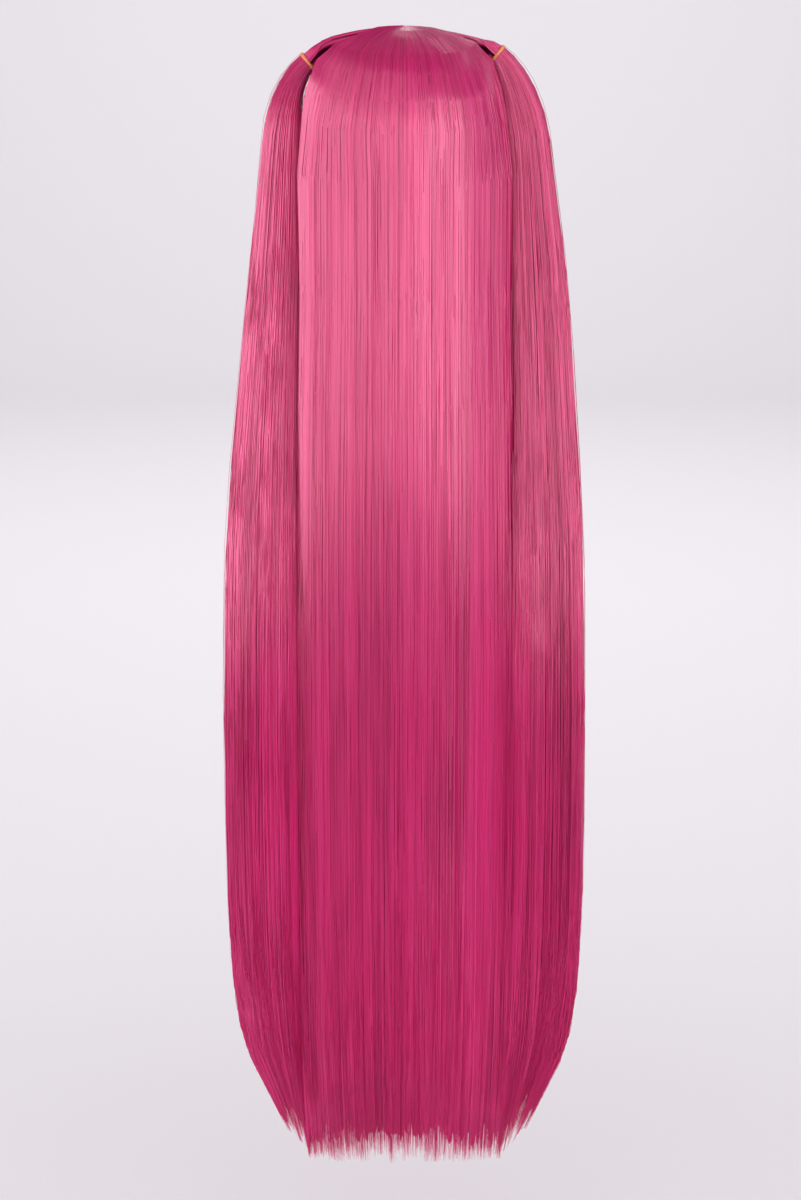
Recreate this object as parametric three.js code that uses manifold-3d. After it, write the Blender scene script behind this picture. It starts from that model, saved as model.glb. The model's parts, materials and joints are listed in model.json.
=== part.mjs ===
// A very long straight wig with two high bunches, worn over a wefted cap. Millimetres.
// +X is the wearer's right, +Y the way the wearer faces, +Z up. The origin is the inside
// of the cap at the crown, the point that rests on top of a head.

import * as THREE from 'three';
import Module from 'manifold-3d';
import { mergeVertices } from 'three/addons/utils/BufferGeometryUtils.js';

const wasm = await Module();
wasm.setup();

// Head form that the cap is made for, above and below its widest level
const headHalfBreadth = 79;
const headHalfLength = 95;
const crownHeight = 92;
const lowerHeadDepth = 150;
const domeSquareness = 2.6;
const planSquareness = 2.2;

// Cap and the hair laid on it
const capWall = 2;
const clearGap = 0.5;
const layBed = 0.7;
const hairLay = 8;
const layGroove = 1.2;
const crownTilt = 10;

// Bunches: where each is tied, the rubber band, and the hanging hair
const tieBearing = 96;
const tieStandoff = 27;
const tieDip = 41;
const neckRadius = 8.5;
const neckGap = 0.3;
const bandWidth = 3.8;
const bandThickness = 2;
const tautLift = 9;
const gatherLead = 15;
const tailDrop = 1073;
const tailWidth = 70;
const tailDepth = 30;
const tailSetback = 90;
const tailGroove = 2.6;
const tailTipSweep = 34;

// The pull of each bunch lifts the cap and hair into a low tent that stops short of its band
const tentSpread = 16;
const tentShort = 2;
const tentRise = tieStandoff - neckRadius - neckGap - bandThickness - capWall - tentShort;

// Loose back hair
const backDrop = 1092;
const backHalfWidth = 106;
const backDepth = 118;
const backThickness = 28;
const backGroove = 3.4;
const backWrap = 77;

const fringeLay = 7;

const backLocks = 12;
const sideLocks = 8;
const tailLocks = 8;
const fringeLocks = 7;
const columnsPerLock = 4;
const bandSides = 16;

const hairColour = 0xc23a78;
const capColour = 0x17131a;
const bandColour = 0xf0915a;

// Cap edge: how far it reaches down from the crown, by bearing from the front, in degrees
const CAP_EDGE = [
  { bearing: 0, fall: 71 },
  { bearing: 35, fall: 76 },
  { bearing: 70, fall: 113 },
  { bearing: 85, fall: 112 },
  { bearing: 105, fall: 103 },
  { bearing: 140, fall: 120 },
  { bearing: 180, fall: 130 },
];

// Back hair over the dome: fall from the whorl, spread to each side, lay as a share
const FAN_ROWS = [
  { fall: 3, spread: 80, lay: 0.7 },
  { fall: 17, spread: 86, lay: 1 },
  { fall: 32, spread: 86, lay: 1.05 },
  { fall: 44, spread: 83, lay: 1.1 },
  { fall: 56, spread: 79, lay: 1.25 },
  { fall: 69, spread: 77, lay: 1.5 },
  { fall: 82, spread: 76, lay: 1.6 },
];

// Back hair below the dome: drop of backDrop, half width of backHalfWidth, back and edge
// of backDepth, thickness of backThickness, groove of backGroove
const HANG_ROWS = [
  { drop: 0.1, half: 0.92, back: 0.93, edge: 0.33, thick: 0.5, groove: 0.4 },
  { drop: 0.2, half: 0.95, back: 0.99, edge: 0.5, thick: 0.8, groove: 0.6 },
  { drop: 0.32, half: 0.98, back: 1.02, edge: 0.62, thick: 1, groove: 0.7 },
  { drop: 0.48, half: 1, back: 1, edge: 0.7, thick: 1, groove: 0.8 },
  { drop: 0.66, half: 1, back: 0.97, edge: 0.74, thick: 0.95, groove: 1 },
  { drop: 0.8, half: 0.99, back: 0.94, edge: 0.76, thick: 0.85, groove: 1.2 },
  { drop: 0.9, half: 0.97, back: 0.92, edge: 0.78, thick: 0.6, groove: 1.3 },
];

// Tips of the back locks, left to right, as shares of backDrop
const BACK_TIPS = [0.965, 0.985, 0.975, 0.99, 1, 0.98, 0.995, 1, 0.985, 0.995, 0.98, 0.96];

// Swept side hair: share along the root line, root direction by bearing from the front and
// fall from the crown, turn round the tie from its top towards the front, taut lift share
const ROOT_ROWS = [
  { share: 0, bearing: 149, fall: 12, turn: -100, taut: 0.9 },
  { share: 0.1, bearing: 14, fall: 5, turn: -65, taut: 1 },
  { share: 0.2, bearing: 5, fall: 16, turn: -35, taut: 1 },
  { share: 0.32, bearing: 3, fall: 29, turn: -5, taut: 0.9 },
  { share: 0.42, bearing: 4, fall: 38, turn: 15, taut: 0.7 },
  { share: 0.54, bearing: 28, fall: 50, turn: 45, taut: 0.5 },
  { share: 0.66, bearing: 48, fall: 64, turn: 80, taut: 0.3 },
  { share: 0.77, bearing: 62, fall: 84, turn: 115, taut: 0.2 },
  { share: 0.88, bearing: 78, fall: 102, turn: 160, taut: 0.1 },
  { share: 1, bearing: 106, fall: 99, turn: 215, taut: 0 },
];

// Fringe: fall at its middle and at its edges, and half its spread, in degrees
const FRINGE_ROWS = [
  { middle: 42, edge: 54, half: 26, lay: 0.6 },
  { middle: 53, edge: 60, half: 36, lay: 1 },
  { middle: 65, edge: 68, half: 46, lay: 1.1 },
  { middle: 78, edge: 80, half: 54, lay: 1.1 },
  { middle: 90, edge: 92, half: 60, lay: 0.8 },
];

// Hanging bunches below the neck: drop of tailDrop, widths of tailWidth on each side, depth
// of tailDepth, setback of tailSetback
const TAIL_ROWS = [
  { drop: 0.1, left: 0.5, right: 0.55, depth: 0.72, back: 0.3 },
  { drop: 0.15, left: 0.58, right: 0.66, depth: 0.8, back: 0.42 },
  { drop: 0.23, left: 0.7, right: 0.79, depth: 0.9, back: 0.58 },
  { drop: 0.33, left: 0.8, right: 0.83, depth: 1, back: 0.78 },
  { drop: 0.41, left: 0.93, right: 0.93, depth: 1, back: 0.88 },
  { drop: 0.5, left: 0.97, right: 0.96, depth: 1, back: 0.94 },
  { drop: 0.62, left: 1, right: 0.99, depth: 0.95, back: 0.98 },
  { drop: 0.76, left: 0.98, right: 0.99, depth: 0.8, back: 1 },
  { drop: 0.82, left: 0.88, right: 0.93, depth: 0.55, back: 1 },
];

// Tips of each bunch's locks, outer to inner, as shares of tailDrop: the ends are cut aslant
const TAIL_TIPS = { left: [0.82, 0.89, 0.945, 0.975, 1], right: [0.87, 0.91, 0.955, 0.985, 1] };
const lockRoot = 0.76;

const SIDES = [
  { name: 'left', sign: -1, tieRise: 38 },
  { name: 'right', sign: 1, tieRise: 42 },
];

const { degToRad, lerp, clamp, smoothstep } = THREE.MathUtils;
const vec = (x, y, z) => new THREE.Vector3(x, y, z);
const headCentre = vec(0, 0, -crownHeight);

// A smooth curve through one column of a table, read at any value of its key column
function track(rows, key, column) {
  const x = rows.map((row) => row[key]);
  const y = rows.map((row) => row[column]);
  const slope = y.map((_, i) => {
    const a = Math.max(i - 1, 0);
    const b = Math.min(i + 1, y.length - 1);
    return (y[b] - y[a]) / (x[b] - x[a]);
  });
  return (at) => {
    const t = clamp(at, x[0], x[x.length - 1]);
    let i = 0;
    while (i < x.length - 2 && t > x[i + 1]) i += 1;
    const span = x[i + 1] - x[i];
    const s = (t - x[i]) / span;
    const rise = y[i + 1] - y[i];
    const bend = s * (1 - s) * ((slope[i] * span - rise) * (1 - s) - (slope[i + 1] * span - rise) * s);
    return y[i] + rise * s + bend;
  };
}

// Unit vector by bearing from the front towards the wearer's right, and fall from straight up
function heading(bearing, fall) {
  const b = degToRad(bearing);
  const f = degToRad(fall);
  return vec(Math.sin(f) * Math.sin(b), Math.sin(f) * Math.cos(b), Math.cos(f));
}

// Distance from the head's centre to its plain surface in a direction
function plainRadius(dir) {
  const plan = (Math.abs(dir.x) / headHalfBreadth) ** planSquareness
    + (Math.abs(dir.y) / headHalfLength) ** planSquareness;
  const tall = Math.abs(dir.z) / (dir.z > 0 ? crownHeight : lowerHeadDepth);
  return (plan ** (domeSquareness / planSquareness) + tall ** domeSquareness) ** (-1 / domeSquareness);
}

const tieHeading = (side) => heading(side.sign * tieBearing, 90 - side.tieRise);

// A point above the cap's inside, in a direction from the head's centre
function onHead(dir, height) {
  let radius = plainRadius(dir) + height;
  for (const side of SIDES) {
    const away = dir.angleTo(tieHeading(side)) / degToRad(tentSpread);
    radius += tentRise * Math.exp(-away * away);
  }
  return headCentre.clone().addScaledVector(dir, radius);
}

// Direction part of the way round the arc from one to another
function arc(from, to, share) {
  const angle = from.angleTo(to);
  if (angle < 1e-6) return from.clone();
  const a = Math.sin((1 - share) * angle) / Math.sin(angle);
  const b = Math.sin(share * angle) / Math.sin(angle);
  return from.clone().multiplyScalar(a).addScaledVector(to, b).normalize();
}

// Depth of the groove beside each lock, none at the lock's crest
const groove = (share, locks) => Math.abs(Math.sin(Math.PI * locks * share)) - 1;

// Closed body from points and triangles, with its faces turned outwards
function body(points, triangles) {
  const raw = new THREE.BufferGeometry();
  raw.setAttribute('position', new THREE.Float32BufferAttribute(points.flatMap((p) => p.toArray()), 3));
  raw.setIndex(triangles.flat());
  const merged = mergeVertices(raw, 1e-3);
  const index = Array.from(merged.index.array);
  const at = (i) => vec().fromBufferAttribute(merged.attributes.position, i);
  const faces = [];
  let volume = 0;
  for (let i = 0; i < index.length; i += 3) {
    const [a, b, c] = index.slice(i, i + 3);
    if (a === b || b === c || c === a) continue;
    faces.push([a, b, c]);
    volume += at(a).dot(at(b).cross(at(c)));
  }
  merged.setIndex(faces.map((f) => (volume < 0 ? [f[0], f[2], f[1]] : f)).flat());
  return merged;
}

// Wall between an outer and an inner grid of points, closed along its free edges
function wall(columns, rows, outer, inner, round = false) {
  const points = [];
  const number = (layer, i, j) => (layer * (rows + 1) + j) * (columns + 1) + (round ? i % columns : i);
  for (const grid of [outer, inner]) {
    for (let j = 0; j <= rows; j += 1) {
      for (let i = 0; i <= columns; i += 1) points.push(grid(i / columns, j));
    }
  }
  const triangles = [];
  const quad = (a, b, c, d) => triangles.push([a, b, c], [a, c, d]);
  for (let j = 0; j < rows; j += 1) {
    for (let i = 0; i < columns; i += 1) {
      quad(number(0, i, j), number(0, i + 1, j), number(0, i + 1, j + 1), number(0, i, j + 1));
      quad(number(1, i, j + 1), number(1, i + 1, j + 1), number(1, i + 1, j), number(1, i, j));
    }
    if (!round) {
      quad(number(0, 0, j + 1), number(1, 0, j + 1), number(1, 0, j), number(0, 0, j));
      quad(number(0, columns, j), number(1, columns, j), number(1, columns, j + 1), number(0, columns, j + 1));
    }
  }
  for (let i = 0; i < columns; i += 1) {
    quad(number(0, i + 1, 0), number(0, i, 0), number(1, i, 0), number(1, i + 1, 0));
    quad(number(0, i, rows), number(0, i + 1, rows), number(1, i + 1, rows), number(1, i, rows));
  }
  return body(points, triangles);
}

// Solid through closed rings of points, capped at both ends
function loft(rings) {
  const n = rings[0].length;
  const points = rings.flat();
  const triangles = [];
  for (let j = 0; j < rings.length - 1; j += 1) {
    for (let i = 0; i < n; i += 1) {
      const a = j * n + i;
      const b = j * n + (i + 1) % n;
      triangles.push([a, b, b + n], [a, b + n, a + n]);
    }
  }
  for (const [ring, flip] of [[0, true], [rings.length - 1, false]]) {
    const middle = rings[ring].reduce((sum, p) => sum.add(p), vec()).divideScalar(n);
    points.push(middle);
    for (let i = 0; i < n; i += 1) {
      const edge = [ring * n + i, ring * n + (i + 1) % n];
      triangles.push(flip ? [edge[1], edge[0], points.length - 1] : [...edge, points.length - 1]);
    }
  }
  return body(points, triangles);
}

function toSolid(geometry) {
  const plain = geometry.clone();
  plain.deleteAttribute('normal');
  plain.deleteAttribute('uv');
  const merged = mergeVertices(plain);
  return new wasm.Manifold(new wasm.Mesh({
    numProp: 3,
    vertProperties: new Float32Array(merged.attributes.position.array),
    triVerts: new Uint32Array(merged.index.array),
  }));
}

function toGeometry(solid) {
  const mesh = solid.getMesh();
  const geometry = new THREE.BufferGeometry();
  geometry.setAttribute('position', new THREE.Float32BufferAttribute(mesh.vertProperties, 3));
  geometry.setIndex(Array.from(mesh.triVerts));
  return geometry;
}

const joined = (pieces) => pieces.map(toSolid).reduce((sum, piece) => sum.add(piece));

function piece(name, solid, colour, roughness, metalness = 0) {
  const geometry = solid.isBufferGeometry ? solid : toGeometry(solid);
  geometry.computeVertexNormals();
  const mesh = new THREE.Mesh(geometry, new THREE.MeshStandardMaterial({ color: colour, roughness, metalness }));
  mesh.name = name;
  return mesh;
}

// Cap: a dome of even wall whose edge follows the hairline, ear tabs and nape
const capColumns = 32;
const capRows = 7;
const capReach = track(CAP_EDGE, 'bearing', 'fall');

function capPoint(share, row, height) {
  const bearing = 360 * share - 180;
  return onHead(heading(bearing, capReach(Math.abs(bearing)) * row / capRows), height);
}

function capBody() {
  const outer = (share, row) => capPoint(share, row, capWall);
  const inner = (share, row) => capPoint(share, row, 0);
  return wall(capColumns, capRows, outer, inner, true);
}

// Room that the cap and the head take, kept clear of hair
function capRoom() {
  const rows = capRows + 1;
  const outer = (share, row) => capPoint(share, row, capWall + clearGap);
  const inner = () => headCentre.clone();
  return toSolid(wall(capColumns, rows, outer, inner, true));
}

// Back hair: a fan from the whorl over the dome, then a curtain hanging in locks
const whorl = heading(180, crownTilt);
const fanRight = vec(1, 0, 0);
const fanBack = vec().crossVectors(fanRight, whorl);

function fanHeading(spread, fall) {
  const s = degToRad(spread);
  const f = degToRad(fall);
  const across = fanRight.clone().multiplyScalar(Math.sin(s)).addScaledVector(fanBack, Math.cos(s));
  return whorl.clone().multiplyScalar(Math.cos(f)).addScaledVector(across, Math.sin(f)).normalize();
}

function fanPoint(share, row, grow, under) {
  const { fall, spread, lay } = FAN_ROWS[row];
  const dir = fanHeading((spread + grow) * (2 * share - 1), fall);
  const low = capWall + clearGap + layBed;
  return onHead(dir, under ? low - grow : low + hairLay * lay + layGroove * groove(share, backLocks) + grow);
}

const hang = Object.fromEntries(['half', 'back', 'edge', 'thick', 'groove']
  .map((column) => [column, track(HANG_ROWS, 'drop', column)]));

const backHalf = (drop) => backHalfWidth * hang.half(drop);

// Middle line of the curtain's outer face at a level, with its outward normal
function curtain(share, drop) {
  const angle = degToRad(backWrap * (2 * share - 1));
  const limit = degToRad(backWrap);
  const edge = -backDepth * hang.edge(drop);
  const back = -backDepth * hang.back(drop);
  const bow = (Math.cos(angle) - Math.cos(limit)) / (1 - Math.cos(limit));
  const half = backHalf(drop);
  const point = vec(half * Math.sin(angle) / Math.sin(limit), edge + (back - edge) * bow, -backDrop * drop);
  const normal = vec((edge - back) * Math.sin(angle), -half * Math.cos(angle), 0).normalize();
  return { point, normal };
}

const edgeTaper = (share) => lerp(0.3, 1, Math.sqrt(1 - Math.abs(2 * share - 1) ** 6));

function hangPoint(share, row, grow, under) {
  const { drop } = HANG_ROWS[row];
  const { point, normal } = curtain(share, drop);
  const depth = backThickness * hang.thick(drop) * edgeTaper(share);
  const relief = backGroove * hang.groove(drop) * groove(share, backLocks);
  point.x += grow * Math.sign(point.x);
  return point.addScaledVector(normal, under ? -depth - grow : relief + grow);
}

function backPoint(share, row, grow, under) {
  const hangRow = row - FAN_ROWS.length;
  return hangRow < 0 ? fanPoint(share, row, grow, under) : hangPoint(share, hangRow, grow, under);
}

function backWall(grow = 0) {
  const outer = (share, row) => backPoint(share, row, grow, false);
  const inner = (share, row) => backPoint(share, row, grow, true);
  return wall(backLocks * columnsPerLock, FAN_ROWS.length + HANG_ROWS.length - 1, outer, inner);
}

// One tapering lock end: from inside the hair above to a blunt tip
function lockEnd(start, end, across, width, depth) {
  const sizes = [{ at: 0, size: 1 }, { at: 0.5, size: 0.95 }, { at: 0.8, size: 0.6 }, { at: 1, size: 0.06 }];
  return loft(sizes.map(({ at, size }) => {
    const middle = start.clone().lerp(end, at);
    return [0, 60, 120, 180, 240, 300].map((turn) => middle.clone()
      .addScaledVector(across, size * width / 2 * Math.cos(degToRad(turn)))
      .add(vec(0, size * depth / 2 * Math.sin(degToRad(turn)), 0)));
  }));
}

function backHair() {
  const last = HANG_ROWS[HANG_ROWS.length - 1].drop;
  const ends = BACK_TIPS.map((tip, i) => {
    const share = (i + 0.5) / backLocks;
    const top = curtain(share, last - 0.04);
    const low = curtain(share, last);
    const depth = backThickness * hang.thick(last);
    const start = top.point.addScaledVector(top.normal, -depth * 0.55);
    const end = low.point.addScaledVector(low.normal, -depth * 0.5);
    end.x *= lerp(0.98, 0.93, Math.abs(2 * share - 1));
    end.z = -backDrop * tip;
    const across = vec(-low.normal.y, low.normal.x, 0);
    return lockEnd(start, end, across, 2 * backHalf(last) / backLocks * 1.02, depth * 0.8);
  });
  return joined([backWall(), ...ends]);
}

// The tie: its middle, the way the bunch passes through it, and a frame across it
function tieFrame(side) {
  const dir = tieHeading(side);
  const middle = headCentre.clone().addScaledVector(dir, plainRadius(dir) + tieStandoff);
  const dip = degToRad(tieDip);
  const axis = vec(side.sign * Math.cos(dip), 0, -Math.sin(dip));
  const up = vec(side.sign * Math.sin(dip), 0, Math.cos(dip));
  return { dir, middle, axis, up, front: vec(0, 1, 0) };
}

function ringPoint(frame, turn, radius, along) {
  const t = degToRad(turn);
  return frame.middle.clone().addScaledVector(frame.axis, along)
    .addScaledVector(frame.up, radius * Math.cos(t)).addScaledVector(frame.front, radius * Math.sin(t));
}

// Swept side hair: strands run from the root line over the cap and gather into the tie
const root = Object.fromEntries(['x', 'y', 'z', 'turn', 'taut'].map((column) => {
  const rows = ROOT_ROWS.map((row) => ({ ...row, ...heading(row.bearing, row.fall) }));
  return [column, track(rows, 'share', column)];
}));

const overCap = 6;
const gathering = 3;
const sideRows = overCap + gathering + 1;

function sweepHeading(side, frame, share, run) {
  const from = vec(side.sign * root.x(share), root.y(share), root.z(share)).normalize();
  const join = arc(frame.dir, from, degToRad(gatherLead) / frame.dir.angleTo(from));
  return arc(from, join, run);
}

function sweepPoint(side, frame, share, run, grow, under) {
  const lift = tautLift * root.taut(share) * run ** 1.3;
  const low = capWall + clearGap + layBed;
  const lay = hairLay * lerp(0.6, 1, smoothstep(run, 0, 0.4)) + layGroove * groove(share, sideLocks);
  return onHead(sweepHeading(side, frame, share, run), under ? low + 0.6 * lift - grow : low + lay + lift + grow);
}

function sidePoint(side, frame, share, row, grow, under) {
  if (row <= overCap) return sweepPoint(side, frame, share, row / overCap, grow, under);
  const turn = root.turn(share);
  const entry = bandWidth / 2 + clearGap;
  const radius = (under ? 0.35 * neckRadius : neckRadius + 0.4 * neckGap * groove(share, sideLocks)) + grow * !under;
  if (row === sideRows) return ringPoint(frame, turn, under ? 0 : radius, -neckGap / 2 + grow);
  const from = sweepPoint(side, frame, share, 1, grow, under);
  const before = sweepPoint(side, frame, share, 0.9, grow, under);
  const to = ringPoint(frame, turn, radius, -entry);
  const reach = 0.4 * from.distanceTo(to);
  const leave = from.clone().addScaledVector(from.clone().sub(before).normalize(), reach);
  const arrive = to.clone().addScaledVector(frame.axis, -reach);
  return new THREE.CubicBezierCurve3(from, leave, arrive, to).getPoint((row - overCap) / gathering);
}

function sideHair(side, grow = 0) {
  const frame = tieFrame(side);
  const outer = (share, row) => sidePoint(side, frame, share, row, grow, false);
  const inner = (share, row) => sidePoint(side, frame, share, row, grow, true);
  return toSolid(wall(sideLocks * columnsPerLock, sideRows, outer, inner));
}

// Fringe: hair in front of the parting, falling over the cap's edge to the brow
function fringePoint(share, row, grow, under) {
  const { middle, edge, half, lay } = FRINGE_ROWS[row];
  const across = 2 * share - 1;
  const notch = row === FRINGE_ROWS.length - 1 ? 2.5 * groove(share, fringeLocks) : 0;
  const dir = heading(half * across, lerp(middle, edge, across * across) + notch);
  const low = capWall + clearGap + layBed;
  return onHead(dir, under ? low - grow : low + fringeLay * lay + layGroove * groove(share, fringeLocks) + grow);
}

function fringe() {
  const outer = (share, row) => fringePoint(share, row, 0, false);
  const inner = (share, row) => fringePoint(share, row, 0, true);
  return toSolid(wall(fringeLocks * columnsPerLock, FRINGE_ROWS.length - 1, outer, inner));
}

// Rubber band wound twice round the bunch's neck
function band(side) {
  const frame = tieFrame(side);
  const inside = neckRadius + neckGap;
  const profile = [new THREE.Vector2(inside, bandWidth / 2), new THREE.Vector2(inside, -bandWidth / 2)];
  for (const turn of [-1, 1]) {
    for (const tilt of [-75, -30, 30, 75]) {
      const round = degToRad(tilt);
      const out = bandThickness * lerp(0.4, 1, Math.cos(round));
      profile.push(new THREE.Vector2(inside + out, bandWidth / 4 * (turn + Math.sin(round))));
    }
  }
  profile.push(profile[0].clone());
  const ring = new THREE.LatheGeometry(profile, bandSides);
  const turned = new THREE.Matrix4().makeBasis(frame.front, frame.axis, frame.front.clone().cross(frame.axis));
  ring.applyMatrix4(turned.setPosition(frame.middle));
  return toSolid(ring);
}

// Hanging bunch: a round neck inside the band that widens, turns down and ends in slanted locks
const tail = Object.fromEntries(['left', 'right', 'depth', 'back']
  .map((column) => [column, track(TAIL_ROWS, 'drop', column)]));

function tailMiddle(side, drop) {
  const level = -tailDrop * drop;
  const inside = backHalf(-level / backDrop) + clearGap;
  return vec(side.sign * (inside + tailWidth * tail[side.name](drop) / 2), -tailSetback * tail.back(drop), level);
}

function tailRing(middle, along, width, depth, roundness, deep) {
  const across = vec().crossVectors(along, vec(0, 1, 0)).normalize();
  const forward = vec().crossVectors(across, along).normalize();
  const count = tailLocks * columnsPerLock;
  return Array.from({ length: count }, (_, i) => {
    const turn = 2 * Math.PI * i / count;
    const c = Math.cos(turn);
    const s = Math.sin(turn);
    const size = 1 + deep * groove(i / count, tailLocks);
    return middle.clone()
      .addScaledVector(across, size * width / 2 * Math.sign(c) * Math.abs(c) ** roundness)
      .addScaledVector(forward, size * depth / 2 * Math.sign(s) * Math.abs(s) ** roundness);
  });
}

function tailHair(side) {
  const frame = tieFrame(side);
  const first = TAIL_ROWS[0].drop;
  const topWidth = tailWidth * tail[side.name](first);
  const topDepth = tailDepth * tail.depth(first);
  const hangTop = tailMiddle(side, first);
  const fallen = frame.middle.z - hangTop.z;
  const bend = new THREE.CubicBezierCurve3(
    ringPoint(frame, 0, 0, neckGap / 2),
    ringPoint(frame, 0, 0, 0.27 * fallen),
    hangTop.clone().add(vec(-0.02 * topWidth * side.sign, 0.1 * topWidth, 0.48 * fallen)),
    hangTop,
  );
  const rings = [];
  const straight = bandWidth / 2 + clearGap;
  for (const along of [neckGap / 2, straight]) {
    rings.push(tailRing(ringPoint(frame, 0, 0, along), frame.axis, 2 * neckRadius, 2 * neckRadius, 1, 0));
  }
  for (const t of [0.16, 0.3, 0.46, 0.64, 0.82]) {
    const grown = smoothstep(t, -0.1, 1.05);
    const width = lerp(2 * neckRadius, topWidth, grown);
    const depth = lerp(2 * neckRadius, topDepth, grown);
    rings.push(tailRing(bend.getPoint(t), bend.getTangent(t), width, depth, lerp(1, 0.8, t), 0.1 * t));
  }
  for (const { drop } of TAIL_ROWS) {
    const width = tailWidth * tail[side.name](drop);
    const deep = tailGroove / tailDepth * 2 * lerp(0.6, 1, drop);
    rings.push(tailRing(tailMiddle(side, drop), vec(0, 0, -1), width, tailDepth * tail.depth(drop), 0.8, deep));
  }
  const tips = TAIL_TIPS[side.name];
  const last = TAIL_ROWS[TAIL_ROWS.length - 1].drop;
  const ends = tips.map((tip, i) => {
    const lean = side.sign * (0.5 - (i + 0.5) / tips.length);
    const width = tailWidth * tail[side.name](last);
    const start = tailMiddle(side, lockRoot).add(vec(width * lean, 0, 0));
    const swept = tailTipSweep * (1 - (i + 0.5) / tips.length) * smoothstep(tip, 0.75, 1);
    const end = start.clone().add(vec(-side.sign * swept, 0, 0));
    end.z = -tailDrop * tip;
    return lockEnd(start, end, vec(1, 0, 0), width / tips.length * 1.1, tailDepth * 0.6);
  });
  return joined([loft(rings), ...ends]);
}

// Every piece is cut clear of the ones laid before it, so that none of them touch
const group = new THREE.Group();
const room = capRoom();
const backRoom = toSolid(backWall(clearGap));
const sideRooms = SIDES.map((side) => sideHair(side, clearGap));

group.add(piece('cap', capBody(), capColour, 0.85));
group.add(piece('back_hair', backHair().subtract(room), hairColour, 0.38));
group.add(piece('front_hair', fringe().subtract(room).subtract(sideRooms[0]).subtract(sideRooms[1]), hairColour, 0.38));
for (const side of SIDES) {
  group.add(piece(`side_hair_${side.name}`, sideHair(side).subtract(room).subtract(backRoom), hairColour, 0.38));
  group.add(piece(`tail_${side.name}`, tailHair(side).subtract(backRoom), hairColour, 0.38));
  group.add(piece(`tie_${side.name}`, band(side), bandColour, 0.5));
}

export default group;
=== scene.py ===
# %% [markdown]
# # A very long straight wig with two high bunches
#
# The object is a costume wig: smooth synthetic hair more than a metre long. It fans from the
# crown, hangs down the back as one curtain, and a bunch is tied high on each side with an
# orange rubber band. The hair is sewn in rows on a black elastic cap. Each lock is modelled
# twice: as a closed mass, which gives the body, and as loose strands over it, which are seen.
#
# The measured solids come first, as a fixed frame in metres. Everything below is a finer
# skin for one of those solids, so the first cell loads them and keeps their box.

# %% Load the frame
import json
import math

import bmesh
import bpy
import numpy as np
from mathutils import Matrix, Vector

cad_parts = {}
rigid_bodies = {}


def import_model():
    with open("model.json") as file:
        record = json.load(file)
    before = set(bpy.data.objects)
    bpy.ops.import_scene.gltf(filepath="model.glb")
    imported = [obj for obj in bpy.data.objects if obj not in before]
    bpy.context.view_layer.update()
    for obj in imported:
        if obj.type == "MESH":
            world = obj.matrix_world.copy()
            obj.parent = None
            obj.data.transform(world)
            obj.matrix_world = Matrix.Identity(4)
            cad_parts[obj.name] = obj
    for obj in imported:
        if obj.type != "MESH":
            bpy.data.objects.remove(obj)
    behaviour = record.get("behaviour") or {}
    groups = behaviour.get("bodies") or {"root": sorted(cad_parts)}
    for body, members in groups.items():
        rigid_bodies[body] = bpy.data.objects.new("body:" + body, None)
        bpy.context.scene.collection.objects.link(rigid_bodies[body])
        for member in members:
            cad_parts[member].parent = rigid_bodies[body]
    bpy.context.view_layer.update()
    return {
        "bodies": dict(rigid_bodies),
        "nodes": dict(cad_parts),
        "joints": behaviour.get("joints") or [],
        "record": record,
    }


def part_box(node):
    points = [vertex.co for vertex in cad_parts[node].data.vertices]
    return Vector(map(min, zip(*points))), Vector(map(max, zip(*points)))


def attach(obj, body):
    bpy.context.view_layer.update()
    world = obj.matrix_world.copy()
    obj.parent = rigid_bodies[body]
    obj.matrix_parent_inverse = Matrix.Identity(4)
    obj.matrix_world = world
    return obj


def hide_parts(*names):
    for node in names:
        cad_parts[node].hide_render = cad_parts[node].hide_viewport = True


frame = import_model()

print("solids:", sorted(frame["nodes"]))

# %% [markdown]
# ## Sizes
#
# A wig is made for a head, so a few head sizes drive it. They are the same named sizes that
# the solids were made from. Where the frame can answer, it is asked instead: the rubber bands
# say where the bunches are tied, and the lowest tips say how far the hair falls.

# %% Sizes in metres
MM = 0.001
HEAD_HALF_BREADTH = 79 * MM
HEAD_HALF_LENGTH = 95 * MM
CROWN_HEIGHT = 92 * MM
LOWER_HEAD_DEPTH = 150 * MM
DOME_SQUARENESS = 2.6
PLAN_SQUARENESS = 2.2

CAP_WALL = 2 * MM
LAY_BED = 1.2 * MM
HAIR_LAY = 8 * MM
CROWN_TILT = 10

TIE_BEARING = 96
TIE_DIP = 41
TENT_RISE = 12.2 * MM
TENT_SPREAD = 16
NECK_RADIUS = 8.5 * MM
BAND_WIDTH = 3.8 * MM
TAUT_LIFT = 9 * MM
GATHER_LEAD = 15

BACK_DROP = -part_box("back_hair")[0].z
BACK_HALF_WIDTH = 106 * MM
BACK_DEPTH = 118 * MM
BACK_THICKNESS = 28 * MM
BACK_WRAP = 77

TAIL_DROP = -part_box("tail_left")[0].z
TAIL_WIDTH = 70 * MM
TAIL_DEPTH = 30 * MM
TAIL_SETBACK = 90 * MM
SEAM = 0.5 * MM

FRINGE_LAY = 7 * MM

SIDES = [("left", -1, 38), ("right", 1, 42)]


def tie_middle(name):
    low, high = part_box("tie_" + name)
    return np.array((low + high) / 2)


print(f"hair falls {BACK_DROP:.3f} m at the back and {TAIL_DROP:.3f} m in the bunches")
print("ties at", {name: tie_middle(name).round(4).tolist() for name, _, _ in SIDES})

# %% [markdown]
# ## Nodes written as sums
#
# Shaders and Geometry Nodes are both graphs of sockets. Placing each Math node by hand hides
# the formula, so one small class wraps a socket and lets Python operators add the nodes. Any
# other node comes from one function that takes its type, its settings and its inputs.

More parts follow.
